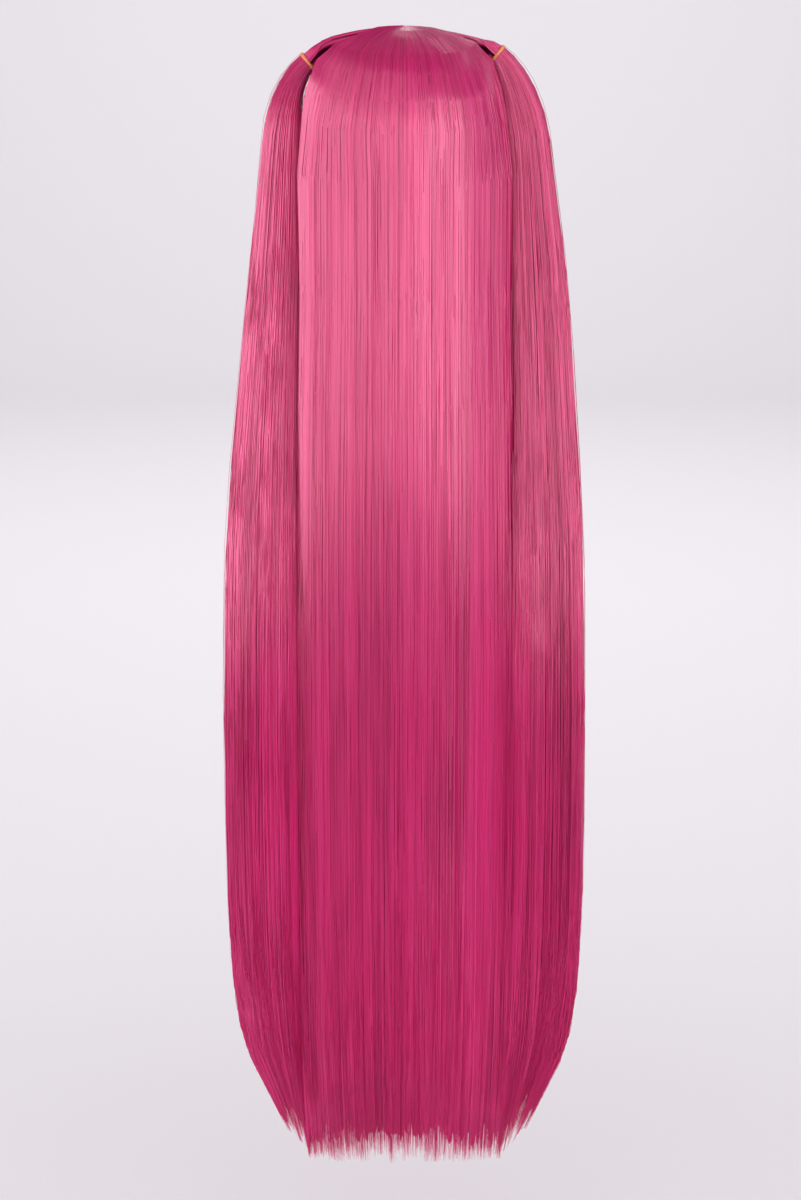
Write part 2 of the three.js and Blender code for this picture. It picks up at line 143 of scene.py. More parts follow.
# %% A socket with arithmetic
def find_socket(sockets, key):
    """A socket by its place, its identifier or its name, or None where there are none."""
    if not len(sockets):
        return None
    if isinstance(key, int):
        return sockets[key]
    return next((socket for socket in sockets if socket.identifier == key), None) or sockets[key]


class Wire:
    """One output socket. Arithmetic on it adds Math nodes to its tree."""

    def __init__(self, tree, node, out=0):
        self.tree, self.node, self.socket = tree, node, find_socket(node.outputs, out)

    def out(self, name):
        return Wire(self.tree, self.node, name)

    def math(self, operation, *values):
        return add(self.tree, "ShaderNodeMath", {"operation": operation}, dict(enumerate(values)))

    def __add__(self, other):
        return self.math("ADD", self, other)

    def __radd__(self, other):
        return self.math("ADD", other, self)

    def __sub__(self, other):
        return self.math("SUBTRACT", self, other)

    def __rsub__(self, other):
        return self.math("SUBTRACT", other, self)

    def __mul__(self, other):
        return self.math("MULTIPLY", self, other)

    def __rmul__(self, other):
        return self.math("MULTIPLY", other, self)

    def __truediv__(self, other):
        return self.math("DIVIDE", self, other)

    def __pow__(self, other):
        return self.math("POWER", self, other)


def add(tree, kind, settings=None, inputs=None, out=0):
    """A node of any type: settings first, then values or wires for its inputs."""
    node = tree.nodes.new(kind)
    for key, value in (settings or {}).items():
        setattr(node, key, value)
    for key, value in (inputs or {}).items():
        socket = find_socket(node.inputs, key)
        if isinstance(value, Wire):
            tree.links.new(value.socket, socket)
        else:
            socket.default_value = value
    return Wire(tree, node, out)


def mix_colour(tree, share, low, high):
    settings = {"data_type": "RGBA"}
    inputs = {"Factor": share, 6: low, 7: high}
    return add(tree, "ShaderNodeMix", settings, inputs, 2)


print("a Wire takes + - * / and ** with numbers and with other wires")

# %% [markdown]
# ## Colour of the hair
#
# Synthetic hair is dyed in the mass, so its colour hardly changes along a strand. What the eye
# sees is thousands of thin cylinders, each a little lighter or darker than the next. Every
# strand therefore carries a random `tone`, and a fine streak pattern that follows the hair's
# own UV map stands for the fibres inside each strand. Broader bands tell one lock from the
# next, most of all near the ends. The last part of each strand is also painted lighter: painted light,
# for the light that shines through the thin tips.
#
# The fibre is smooth plastic with a silvery sheen. A low roughness, a rather high index of
# refraction and a little metal give that long silky band of light. Fully metal hair would look
# like wire, and a plain plastic would turn chalky. The masses underneath are darker and duller,
# as hair is where other hair shades it.

# %% Hair material
def principled(name, base, roughness, **constants):
    """New material with its Principled shader. Plain numbers go on the shader's own sockets."""
    material = bpy.data.materials.new(name)
    material.use_nodes = True
    shader = material.node_tree.nodes["Principled BSDF"]
    shader.inputs["Base Color"].default_value = base
    shader.inputs["Roughness"].default_value = roughness
    for key, value in constants.items():
        shader.inputs[key.replace("_", " ")].default_value = value
    return material, material.node_tree, shader


HAIR_DARK = (0.50, 0.004, 0.105, 1)
HAIR_LIGHT = (0.86, 0.020, 0.225, 1)
HAIR_IOR = 1.65
HAIR_METAL = 0.22
HAIR_ROUGHNESS = 0.19
FIBRE_HEIGHT = 0.6 * MM
BANDS_ACROSS = 11
BANDS_ALONG = 2.2
TONE_WEIGHT = 0.65
FIBRE_WEIGHT = 0.7
DARKER = 0.15
TIP_PAINTED_LIGHT = 0.9


def dimmed(colour, dim):
    return tuple(dim * c for c in colour[:3]) + (1,)


def hair_material(name, streaks, depth, gloss, dim=1.0, rough=0.0):
    """Hair with so many streaks across it. dim darkens it and rough is added roughness."""
    dark, light = dimmed(HAIR_DARK, dim), dimmed(HAIR_LIGHT, dim)
    shine = {"Specular_IOR_Level": gloss, "IOR": HAIR_IOR, "Metallic": HAIR_METAL * gloss}
    material, tree, shader = principled(name, light, 0.3, **shine)
    uv = add(tree, "ShaderNodeUVMap", {"uv_map": "UVMap"})
    parts = add(tree, "ShaderNodeSeparateXYZ", None, {0: uv})
    across, along = parts.out("X"), parts.out("Y")
    grain = add(tree, "ShaderNodeCombineXYZ", None, {0: across * streaks, 1: along * 6})
    fibres = add(tree, "ShaderNodeTexNoise", None, {"Vector": grain, "Scale": 1, "Detail": 4})
    tone = add(tree, "ShaderNodeAttribute", {"attribute_name": "tone"}).out("Fac")
    broad = add(tree, "ShaderNodeCombineXYZ", None, {0: across * BANDS_ACROSS, 1: along * BANDS_ALONG})
    bands = add(tree, "ShaderNodeTexNoise", None, {"Vector": broad, "Scale": 1, "Detail": 2}) - 0.5
    share = tone * TONE_WEIGHT + fibres * FIBRE_WEIGHT - DARKER
    # The along**12 term is painted light: it lightens the tips, for the light that shines through them.
    share = share + bands * (0.3 + along * 2.0) + along**12 * TIP_PAINTED_LIGHT
    share = share.math("MAXIMUM", share, 0)
    colour = mix_colour(tree, share.math("MINIMUM", share, 1), dark, light)
    tree.links.new(colour.socket, shader.inputs["Base Color"])
    rough = rough + HAIR_ROUGHNESS + fibres * 0.10
    tree.links.new(rough.socket, shader.inputs["Roughness"])
    relief = {"Strength": depth, "Distance": FIBRE_HEIGHT, "Height": fibres}
    tree.links.new(add(tree, "ShaderNodeBump", None, relief).socket, shader.inputs["Normal"])
    return material


strand_hair = hair_material("strand_hair", streaks=60, depth=0.15, gloss=1.0)
# The masses' colours are dimmed as painted shade, for the strands that lie over them and shade them.
massed_hair = hair_material("massed_hair", streaks=260, depth=0.8, gloss=0.4, dim=0.75, rough=0.3)
print("hair materials:", strand_hair.name, massed_hair.name)

# %% [markdown]
# ## The head form
#
# Cap and hair both follow the form of the head that a wig is made for. It could be sculpted,
# but a superellipsoid is a good head: it takes the breadth, length and height, and two
# exponents make it a little squarer than an egg. Where the bunches pull, the cap and the hair
# lift into low tents, a soft bump added to the radius around each tie.

# %% Head form as a function of direction
def heading(bearing, fall):
    """Unit vectors by bearing from the front and fall from straight up, both in degrees."""
    b, f = np.radians(bearing), np.radians(fall)
    return np.stack(np.broadcast_arrays(np.sin(f) * np.sin(b), np.sin(f) * np.cos(b), np.cos(f)), -1)


HEAD_CENTRE = np.array((0, 0, -CROWN_HEIGHT))
TIE_HEADINGS = [heading(sign * TIE_BEARING, 90 - rise) for _, sign, rise in SIDES]


def angle_between(a, b):
    return np.degrees(np.arccos(np.clip((a * b).sum(-1), -1, 1)))


def unit(v):
    return v / np.linalg.norm(v, axis=-1, keepdims=True)


def on_head(direction, height):
    """Points at a height above the inside of the cap, for an array of directions."""
    x, y, z = (np.abs(direction[..., i]) for i in range(3))
    plan = (x / HEAD_HALF_BREADTH) ** PLAN_SQUARENESS + (y / HEAD_HALF_LENGTH) ** PLAN_SQUARENESS
    tall = z / np.where(direction[..., 2] > 0, CROWN_HEIGHT, LOWER_HEAD_DEPTH)
    power = DOME_SQUARENESS / PLAN_SQUARENESS
    radius = (plan**power + tall**DOME_SQUARENESS) ** (-1 / DOME_SQUARENESS) + height
    for tie in TIE_HEADINGS:
        radius = radius + TENT_RISE * np.exp(-((angle_between(direction, tie) / TENT_SPREAD) ** 2))
    return HEAD_CENTRE + direction * radius[..., None]


def arc(start, end, share):
    """Directions part of the way round the arc from one set of directions to another."""
    angle = np.arccos(np.clip((start * end).sum(-1, keepdims=True), -1, 1))
    share = np.asarray(share)
    a = np.sin((1 - share) * angle) / np.sin(angle)
    return unit(a * start + np.sin(share * angle) / np.sin(angle) * end)


def track(keys, values, at):
    """Smooth curve through a table's values, read at any keys. Values may be arrays."""
    keys, values, at = np.asarray(keys, float), np.asarray(values, float), np.asarray(at, float)
    slope = np.array([
        (values[min(i + 1, len(keys) - 1)] - values[max(i - 1, 0)])
        / (keys[min(i + 1, len(keys) - 1)] - keys[max(i - 1, 0)])
        for i in range(len(keys))
    ])
    t = np.clip(at, keys[0], keys[-1])
    i = np.clip(np.searchsorted(keys, t) - 1, 0, len(keys) - 2)
    extra = (1,) * (values.ndim - 1)
    span = (keys[i + 1] - keys[i]).reshape(i.shape + extra)
    s = (t - keys[i]).reshape(i.shape + extra) / span
    rise = values[i + 1] - values[i]
    bend = (slope[i] * span - rise) * (1 - s) - (slope[i + 1] * span - rise) * s
    return values[i] + rise * s + s * (1 - s) * bend


print("crown at", on_head(heading(0, 0), 0).round(4).tolist())

# %% [markdown]
# ## Meshes from grids
#
# Cap, locks and guides are all grids of points. One function closes a pair of grids into a
# wall with rims, another makes an open grid with a UV map, which is what a strand follows.
# NumPy works the grids out whole, which is quicker and shorter than loops over points.

# %% Grid and wall builders
def grid_faces(rows, columns, start=0, flip=False, round_trip=False):
    i = np.arange(columns if round_trip else columns - 1)
    j = np.arange(rows - 1)[:, None]
    nxt = (i + 1) % columns
    quads = np.stack(np.broadcast_arrays(
        j * columns + i, j * columns + nxt, (j + 1) * columns + nxt, (j + 1) * columns + i), -1)
    quads = quads.reshape(-1, 4) + start
    return quads[:, ::-1] if flip else quads


def new_object(name, mesh, material=None):
    made = bpy.data.objects.new(name, mesh)
    bpy.context.scene.collection.objects.link(made)
    if material:
        mesh.materials.append(material)
    return made


def lay_uv(mesh, rows, columns):
    """UV map of a grid's mesh: x across and y along. A second grid repeats the first."""
    corner = np.empty(len(mesh.loops), int)
    mesh.loops.foreach_get("vertex_index", corner)
    corner %= rows * columns
    uv = np.stack([corner % columns / (columns - 1), corner // columns / (rows - 1)], -1)
    mesh.uv_layers.new(name="UVMap").data.foreach_set("uv", uv.astype(np.float32).ravel())


def shade_smooth(mesh):
    mesh.polygons.foreach_set("use_smooth", [True] * len(mesh.polygons))


def guide(name, points, flip=True):
    """Open grid of points, rows root to tip, with UV x across and y along."""
    rows, columns = points.shape[:2]
    mesh = bpy.data.meshes.new(name)
    mesh.from_pydata(points.reshape(-1, 3).tolist(), [], grid_faces(rows, columns, 0, flip).tolist())
    lay_uv(mesh, rows, columns)
    return new_object(name, mesh)


def wall(name, outer, inner, material, round_trip=False):
    """Closed body between two grids of points, with faces outwards and a UV map along it."""
    rows, columns = outer.shape[:2]
    layer = rows * columns
    faces = [grid_faces(rows, columns, start, start > 0, round_trip) for start in (0, layer)]
    i = np.arange(columns if round_trip else columns - 1)
    nxt = (i + 1) % columns
    for row, turn in ((0, True), (rows - 1, False)):
        a, b = row * columns + i, row * columns + nxt
        rim = np.stack([a, a + layer, b + layer, b], -1)
        faces.append(rim[:, ::-1] if not turn else rim)
    if not round_trip:
        j = np.arange(rows - 1)
        for column, turn in ((0, False), (columns - 1, True)):
            a, b = j * columns + column, (j + 1) * columns + column
            rim = np.stack([a, a + layer, b + layer, b], -1)
            faces.append(rim[:, ::-1] if not turn else rim)
    points = np.concatenate([outer.reshape(-1, 3), inner.reshape(-1, 3)])
    mesh = bpy.data.meshes.new(name)
    mesh.from_pydata(points.tolist(), [], np.concatenate(faces).tolist())
    lay_uv(mesh, rows, columns)
    shade_smooth(mesh)
    return face_outwards(new_object(name, mesh, material))


def face_outwards(made):
    """Merges doubles and turns the whole closed mesh so that its faces point outwards."""
    work = bmesh.new()
    work.from_mesh(made.data)
    bmesh.ops.remove_doubles(work, verts=work.verts, dist=1e-6)
    bmesh.ops.recalc_face_normals(work, faces=work.faces)
    if work.calc_volume(signed=True) < 0:
        bmesh.ops.reverse_faces(work, faces=work.faces)
    work.to_mesh(made.data)
    work.free()
    return made


def triangles(made):
    made.data.calc_loop_triangles()
    return len(made.data.loop_triangles)


def finish_piece(made, slot, *nodes):
    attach(made, "root")
    if nodes:
        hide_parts(*nodes)
    print(f"{made.name}: {triangles(made)} triangles")
    return made


print("a grid of 3 by 4 points has", len(grid_faces(3, 4)), "faces")

# %% [markdown]
# ## Uneven locks
#
# Hair hangs in locks of many widths. A Displace modifier could press them in, but the same
# relief is needed on masses and on guides, so it is worked out here as heights on a grid. A
# smooth noise gives broad and fine crests, and its zero lines become the narrow grooves.

# %% Relief of the locks
def soft_noise(across, along, columns, rows, seed, around=False):
    """Smooth random heights from -1 to 1 on a grid of shares, with so many cells each way."""
    draw = np.random.default_rng(seed).uniform(-1, 1, (rows + 2, columns + 2))
    if around:
        draw[:, columns] = draw[:, 0]
        draw[:, columns + 1] = draw[:, 1]
    u = np.clip(np.asarray(across), 0, 1)[None, :] * columns
    v = np.clip(np.asarray(along), 0, 1)[:, None] * rows
    i, j = np.floor(u).astype(int), np.floor(v).astype(int)
    a, b = u - i, v - j
    a, b = a * a * (3 - 2 * a), b * b * (3 - 2 * b)
    top = draw[j, i] * (1 - a) + draw[j, i + 1] * a
    low = draw[j + 1, i] * (1 - a) + draw[j + 1, i + 1] * a
    return top * (1 - b) + low * b


def lock_relief(across, along, columns, seed, around=False):
    """Height of uneven locks, from 0 on a crest to -1 in the narrow grooves between them."""
    broad = soft_noise(across, along, columns, 3, seed, around)
    fine = soft_noise(across, along, columns * 3, 5, seed + 1, around)
    return -0.7 * (1 - np.abs(broad)) ** 3 - 0.3 * (1 - np.abs(fine)) ** 3


sample = lock_relief(np.linspace(0, 1, 50), [0.5], 12, 1)
print(f"relief from {sample.min():.2f} to {sample.max():.2f}")

# %% [markdown]
# ## The cap
#
# The cap is black elastic net with the wefts, the sewn rows of hair, machined on in level
# rows, and a firmer band round its edge. It shows in the small gaps beside the ties and from
# below, so it gets real ridges where the wefts run. The net itself is too fine for geometry,
# so a bump on Object coordinates draws it.

# %% Cap material and mesh
CAP_EDGE = [(0, 71), (35, 76), (70, 113), (85, 112), (105, 103), (140, 120), (180, 130)]
CAP_COLUMNS = 84
CAP_ROWS = 61
WEFT_ROWS = 15
WEFT_RISE = 0.5 * MM
EDGE_ROLL = 0.6 * MM
EDGE_FROM = 0.955
NET_BLACK = (0.012, 0.010, 0.012, 1)
NET_HOLES = (0.006, 0.005, 0.007, 1)
NET_THREAD = (0.055, 0.045, 0.055, 1)
NET_CELLS = 520


def cap_material():
    material, tree, shader = principled("wefted_net", NET_BLACK, 0.75, Specular_IOR_Level=0.35)
    place = add(tree, "ShaderNodeTexCoord").out("Object")
    settings = {"feature": "DISTANCE_TO_EDGE"}
    cells = add(tree, "ShaderNodeTexVoronoi", settings, {"Vector": place, "Scale": NET_CELLS})
    thread = cells.math("LESS_THAN", cells.out("Distance"), 0.12)
    worn = add(tree, "ShaderNodeTexNoise", None, {"Vector": place, "Scale": 90, "Detail": 3})
    share = thread * 0.55 + worn * 0.3
    colour = mix_colour(tree, share, NET_HOLES, NET_THREAD)
    tree.links.new(colour.socket, shader.inputs["Base Color"])
    bump = add(tree, "ShaderNodeBump", None, {"Strength": 0.6, "Distance": 0.4 * MM, "Height": thread})
    tree.links.new(bump.socket, shader.inputs["Normal"])
    return material


bearing = np.linspace(-180, 180, CAP_COLUMNS, endpoint=False)
reach = track(*zip(*CAP_EDGE), np.abs(bearing))
down = np.linspace(0, 1, CAP_ROWS)[:, None]
cap_dirs = heading(bearing[None, :], reach[None, :] * down)
weft = np.clip(np.cos(2 * np.pi * WEFT_ROWS * down), 0, 1) ** 3 * WEFT_RISE * np.ones_like(bearing)
roll = EDGE_ROLL * np.clip((down - EDGE_FROM) / 0.02, 0, 1) * np.ones_like(bearing)
cap = wall(
    "cap_net",
    on_head(cap_dirs, CAP_WALL - WEFT_RISE + weft + roll),
    on_head(cap_dirs, WEFT_RISE - weft - roll / 2),
    cap_material(),
    round_trip=True,
)
finish_piece(cap, "cap", "cap")

# %% [markdown]
# ## Strands by Geometry Nodes
#
# Many thousand loose strands can't be placed by hand, and particle hair doesn't survive an
# export. Geometry Nodes grow them as real tubes instead. The tree takes a guide surface,
# whose UV runs across the lock and from root to tip, gives every strand a random place
# across it, and lays its points on the surface with a little lift, drift and clumping. Each
# tube has three sides and tapers to its tip: enough for a strand a millimetre wide.
#
# A strand has few points, so that the whole wig stays light. They stand closer together near
# the root and the tip, where hair bends most, and wider apart where it hangs straight.

# %% Tree that grows strands on a guide
def group_input(tree, name, kind, value=None):
    socket = tree.interface.new_socket(name=name, in_out="INPUT", socket_type=kind)
    if value is not None:
        socket.default_value = value
    return socket.identifier


CROWDING = 0.25
CHART_EDGE = 0.001
TAPER_FROM = 0.8
STRAND_INPUTS = [
    ("Guide", "NodeSocketObject", None),
    ("Count", "NodeSocketInt", 100),
    ("Steps", "NodeSocketInt", 12),
    ("Width", "NodeSocketFloat", 0.001),
    ("Lift", "NodeSocketFloat", 0.001),
    ("Sink", "NodeSocketFloat", 0.002),
    ("Drift", "NodeSocketFloat", 0.01),
    ("Waves", "NodeSocketFloat", 3.0),
    ("Locks", "NodeSocketFloat", 14.0),
    ("Gather", "NodeSocketFloat", 0.5),
    ("Shortest", "NodeSocketFloat", 0.9),
    ("Start", "NodeSocketFloat", 0.0),
    ("Bury", "NodeSocketFloat", 0.0),
    ("Tip width", "NodeSocketFloat", 0.2),
    ("Seed", "NodeSocketInt", 0),
    ("Material", "NodeSocketMaterial", None),
]


def strand_tree():
    tree = bpy.data.node_groups.new("strands_on_guide", "GeometryNodeTree")
    tree.interface.new_socket(name="Geometry", in_out="OUTPUT", socket_type="NodeSocketGeometry")
    names = {name: group_input(tree, name, kind, value) for name, kind, value in STRAND_INPUTS}
    given = add(tree, "NodeGroupInput")
    value = {name: given.out(name) for name in names}

    def scatter(low, high, offset, per=None):
        seed = value["Seed"] + offset
        inputs = {"Min_001": low, "Max_001": high, "Seed": seed}
        if per is not None:
            inputs["ID"] = per
        return add(tree, "FunctionNodeRandomValue", {"data_type": "FLOAT"}, inputs, "Value_001")

    def store(geometry, name, what, domain):
        settings = {"data_type": "FLOAT", "domain": domain}
        inputs = {"Geometry": geometry, "Name": name, "Value": what}
        return add(tree, "GeometryNodeStoreNamedAttribute", settings, inputs)

    def recall(name):
        return add(tree, "GeometryNodeInputNamedAttribute", {"data_type": "FLOAT"}, {"Name": name})

    # One straight line for each strand, with its own place, height, reach and tone.
    seeds = add(tree, "GeometryNodeMeshLine", None, {"Count": value["Count"]})
    line = add(tree, "GeometryNodeCurvePrimitiveLine")
    line = add(tree, "GeometryNodeResampleCurve", None, {"Curve": line, "Count": value["Steps"]})
    strands = add(tree, "GeometryNodeInstanceOnPoints", None, {"Points": seeds, "Instance": line})
    index = add(tree, "GeometryNodeInputIndex")
    spread = (index + scatter(0.0, 1.0, 1)) / value["Count"]
    strands = store(strands, "place", spread, "INSTANCE")
    strands = store(strands, "height", scatter(0.0, 1.0, 2), "INSTANCE")
    strands = store(strands, "reach", scatter(0.0, 1.0, 3), "INSTANCE")
    strands = store(strands, "tone", scatter(0.0, 1.0, 4), "INSTANCE")
    strands = add(tree, "GeometryNodeRealizeInstances", None, {"Geometry": strands})

    # How far along its strand each point lies, crowded towards both ends.
    even = add(tree, "GeometryNodeSplineParameter").out("Factor")
    place, height, reach, tone = (recall(name) for name in ("place", "height", "reach", "tone"))
    run = even - even.math("SINE", even * (2 * math.pi)) * (CROWDING / (2 * math.pi))

    def noise(x, y, detail=1):
        at = add(tree, "ShaderNodeCombineXYZ", None, {0: x, 1: y, 2: value["Seed"] * 7.3})
        return add(tree, "ShaderNodeTexNoise", None, {"Vector": at, "Scale": 1, "Detail": detail}) - 0.5

    # Every lock has a number, by which its strands share their pull, length and sway.
    lock = place * value["Locks"] + noise(place * value["Locks"] * 0.6, 0) * 2.5
    number = lock.math("FLOOR", lock)
    gather = value["Gather"] * scatter(0.1, 1.0, 5, number)
    short = reach**1.6 * 0.6 + scatter(0.0, 0.4, 6, number)
    length = 1 - (1 - value["Shortest"]) * short
    start = value["Start"] * (0.4 + height * 0.6)
    along = start + run * (length - start)
    pulled = (scatter(0.3, 0.7, 7, number) - (lock - number)) / value["Locks"] * gather * along**5
    waves = along * value["Waves"]
    sway = noise(number * 3.7, waves) * 0.6 + noise(place * 900 + tone * 40, waves, 2)
    drift = sway * value["Drift"] * (along.math("MINIMUM", along * 2.5, 1) + along**3 * 3.0)

    def inside_chart(share):
        share = share.math("MAXIMUM", share, CHART_EDGE)
        return share.math("MINIMUM", share, 1 - CHART_EDGE)

    across = inside_chart(place + pulled + drift)
    spot = add(tree, "ShaderNodeCombineXYZ", None, {0: across, 1: inside_chart(along)})

    # The point's place on the guide, and its lift along the guide's normal.
    surface = add(tree, "GeometryNodeObjectInfo", None, {"Object": value["Guide"]}).out("Geometry")
    chart = add(tree, "GeometryNodeInputNamedAttribute", {"data_type": "FLOAT_VECTOR"}, {"Name": "UVMap"})

    def on_guide(what):
        inputs = {"Mesh": surface, "Value": what, "Source UV Map": chart, "Sample UV": spot}
        return add(tree, "GeometryNodeSampleUVSurface", {"data_type": "FLOAT_VECTOR"}, inputs)

    base = on_guide(add(tree, "GeometryNodeInputPosition"))
    normal = on_guide(add(tree, "GeometryNodeInputNormal"))
    slow = add(tree, "ShaderNodeCombineXYZ", None, {0: place * 60, 1: along * 3, 2: height})
    swell = add(tree, "ShaderNodeTexNoise", None, {"Vector": slow, "Scale": 1, "Detail": 1})
    under = 1 - run.math("MINIMUM", run * 6, 1)
    lift = value["Lift"] * (swell * 1.6 - 0.3) - value["Sink"] * height - value["Bury"] * under
    off = add(tree, "ShaderNodeVectorMath", {"operation": "SCALE"}, {0: normal, "Scale": lift})
    point = add(tree, "ShaderNodeVectorMath", {"operation": "ADD"}, {0: base, 1: off})
    strands = add(tree, "GeometryNodeSetPosition", None, {"Geometry": strands, "Position": point})

    # A tube round the line, with a taper, a UV map of its own and the hair's material.
    narrow = (run - TAPER_FROM) * (1 / (1 - TAPER_FROM))
    taper = 1 - narrow.math("MAXIMUM", narrow, 0) * (1 - value["Tip width"])
    radius = value["Width"] * 0.5 * taper * (0.75 + 0.5 * tone)
    strands = store(strands, "along", along, "POINT")
    ring = add(tree, "GeometryNodeCurvePrimitiveCircle", None, {"Resolution": 3, "Radius": 1.0})
    tubes = {"Curve": strands, "Profile Curve": ring, "Fill Caps": True, "Scale": radius}
    strands = add(tree, "GeometryNodeCurveToMesh", None, tubes)
    uv = add(tree, "ShaderNodeCombineXYZ", None, {0: recall("place"), 1: recall("along")})
    settings = {"data_type": "FLOAT2", "domain": "CORNER"}
    inputs = {"Geometry": strands, "Name": "UVMap", "Value": uv}
    strands = add(tree, "GeometryNodeStoreNamedAttribute", settings, inputs)
    strands = add(tree, "GeometryNodeSetShadeSmooth", None, {"Geometry": strands})
    strands = add(tree, "GeometryNodeRealizeInstances", None, {"Geometry": strands})
    inputs = {"Geometry": strands, "Material": value["Material"]}
    strands = add(tree, "GeometryNodeSetMaterial", None, inputs)
    add(tree, "NodeGroupOutput", None, {"Geometry": strands})
    return tree, names


strands_on_guide, strand_sockets = strand_tree()
print("strand tree:", len(strands_on_guide.nodes), "nodes")


# %% Grow one piece of strands
def grow(name, points, flip=True, **values):
    """Strands on a grid of guide points, as one plain mesh. The guide itself is removed.

    Count and Steps are the strands and their points. Lift raises them off the guide, and Sink
    spreads them down from there. Gather pulls them together in so many Locks, Drift and Waves
    bend them sideways, Shortest is the least length as a share, and Start and Bury let them
    begin further down, under the surface."""
    surface = guide("guide", points, flip)
    host = new_object("host", bpy.data.meshes.new("host"))
    modifier = host.modifiers.new("strands", "NODES")
    modifier.node_group = strands_on_guide
    for key, value in {"Guide": surface, "Material": strand_hair, **values}.items():
        modifier[strand_sockets[key.replace("_", " ")]] = value
    graph = bpy.context.evaluated_depsgraph_get()
    mesh = bpy.data.meshes.new_from_object(host.evaluated_get(graph), depsgraph=graph)
    mesh.name = name
    for spare in (host, surface):
        bpy.data.objects.remove(spare)
    if not mesh.materials:
        mesh.materials.append(strand_hair)
    return finish_piece(new_object(name, mesh), "hair")


# %% [markdown]
# ## Loose back hair
#
# The back hair starts at a whorl just behind the crown, fans over the dome and then hangs
# straight. Two short tables describe that: rows over the dome and rows of the hanging
# curtain. A smooth curve through the rows, in every column, gives the whole sheet. The same
# sheet serves twice: with thickness it is the mass of hair underneath, in fluted locks, and
# as a guide it carries the strands that are seen. A cloth or hair simulation would take
# minutes and end in much the same straight fall.

# %% Shape of the back hair
FAN_ROWS = [
    # fall from the whorl, spread, more spread on the left, lay, more lay at the edges
    (0.5, 92, 6, 1.25, 0), (10, 98, 10, 1.25, 0), (18, 100, 12, 1.2, 0), (32, 91, 9, 1.15, 0),
    (44, 82, 1, 1.3, 0), (56, 77, 0, 1.5, 0.1), (69, 76, 1, 1.6, 0.35), (82, 75, 1, 1.55, 0.75),
]
HANG_ROWS = [
    # drop, half width, back, edge
    (0.10, 0.955, 0.95, 0.28),
    (0.20, 0.95, 0.99, 0.43),
    (0.32, 0.98, 1.01, 0.57),
    (0.48, 1.00, 1.00, 0.67),
    (0.66, 1.00, 0.97, 0.72),
    (0.80, 0.99, 0.94, 0.76),
    (0.90, 0.97, 0.92, 0.78),
    (1.00, 0.90, 0.90, 0.79),
]
HANG = np.array(HANG_ROWS)
FAN_SHARE = 0.36

WHORL = heading(180, CROWN_TILT)
FAN_RIGHT = np.array((1.0, 0, 0))
FAN_BACK = np.cross(FAN_RIGHT, WHORL)


def back_sheet(share, along):
    """Points of the back hair's outer face and its outward normals, on a grid."""
    turn = 2 * share - 1
    control, outward = [], []
    for fall, spread, more, lay, flare in FAN_ROWS:
        s, f = np.radians((spread + more * (turn < 0)) * turn), np.radians(fall)
        side = np.sin(s)[:, None] * FAN_RIGHT + np.cos(s)[:, None] * FAN_BACK
        direction = unit(np.cos(f) * WHORL + np.sin(f) * side)
        control.append(on_head(direction, CAP_WALL + LAY_BED + HAIR_LAY * (lay + flare * turn**4)))
        outward.append(direction)
    angle, limit = np.radians(BACK_WRAP * turn), math.radians(BACK_WRAP)
    bow = (np.cos(angle) - math.cos(limit)) / (1 - math.cos(limit))
    for drop, half, back, edge in HANG_ROWS:
        x = BACK_HALF_WIDTH * half * np.sin(angle) / math.sin(limit)
        y = -BACK_DEPTH * (edge + (back - edge) * bow)
        control.append(np.stack([x, y, np.full_like(x, -BACK_DROP * drop)], -1))
        lean = BACK_DEPTH * (back - edge) * np.sin(angle)
        outward.append(unit(np.stack([lean, -BACK_HALF_WIDTH * half * np.cos(angle), 0 * x], -1)))
    control, outward = np.array(control), np.array(outward)
    fan = np.linspace(0, FAN_SHARE, len(FAN_ROWS))
    drops = HANG[:, 0] / HANG[-1, 0]
    hang = FAN_SHARE + (1 - FAN_SHARE) * (0.04 + 0.96 * (drops - drops[0]) / (1 - drops[0]))
    keys = np.concatenate([fan, hang])
    return track(keys, control, along), unit(track(keys, outward, along))


def back_drop_at(along):
    """How far down the curtain a place along the hair is, 0 on the dome and 1 at the tips."""
    return np.clip((along - FAN_SHARE) / (1 - FAN_SHARE), 0, 1)


print("the curtain's rows end at", back_sheet(np.array([0.5]), [1.0])[0].round(3).tolist())

# %% [markdown]
# ### Mass of the back hair
#
# The mass lies a little under the sheet, so that strands cover it from every side. Its locks
# grow deeper towards the ends, and its lower edge is cut in teeth of several sizes, well short
# of the tips, where only loose hair is left.

# %% Mass of the back hair
TIP_CELLS = (14, 37, 90, 230)
TIP_TOOTH = 0.006
TIP_TRIM = 0.030
MASS_SINK = 2.8 * MM
DEPTH_AT = [(0, 0.22), (0.1, 0.5), (0.25, 0.85), (0.5, 1), (0.8, 0.7), (1, 0.04)]
BACK_LOCKS = 26
MASS_COLUMNS = 241
MASS_ROWS = 46


def back_locks(share, along, least):
    """How far the locks' grooves are pressed in: least on the dome, and deeper further down."""
    hung = back_drop_at(along)[:, None]
    return lock_relief(share, along, BACK_LOCKS, 3) * (least + 2.6 * hung**2) * MM


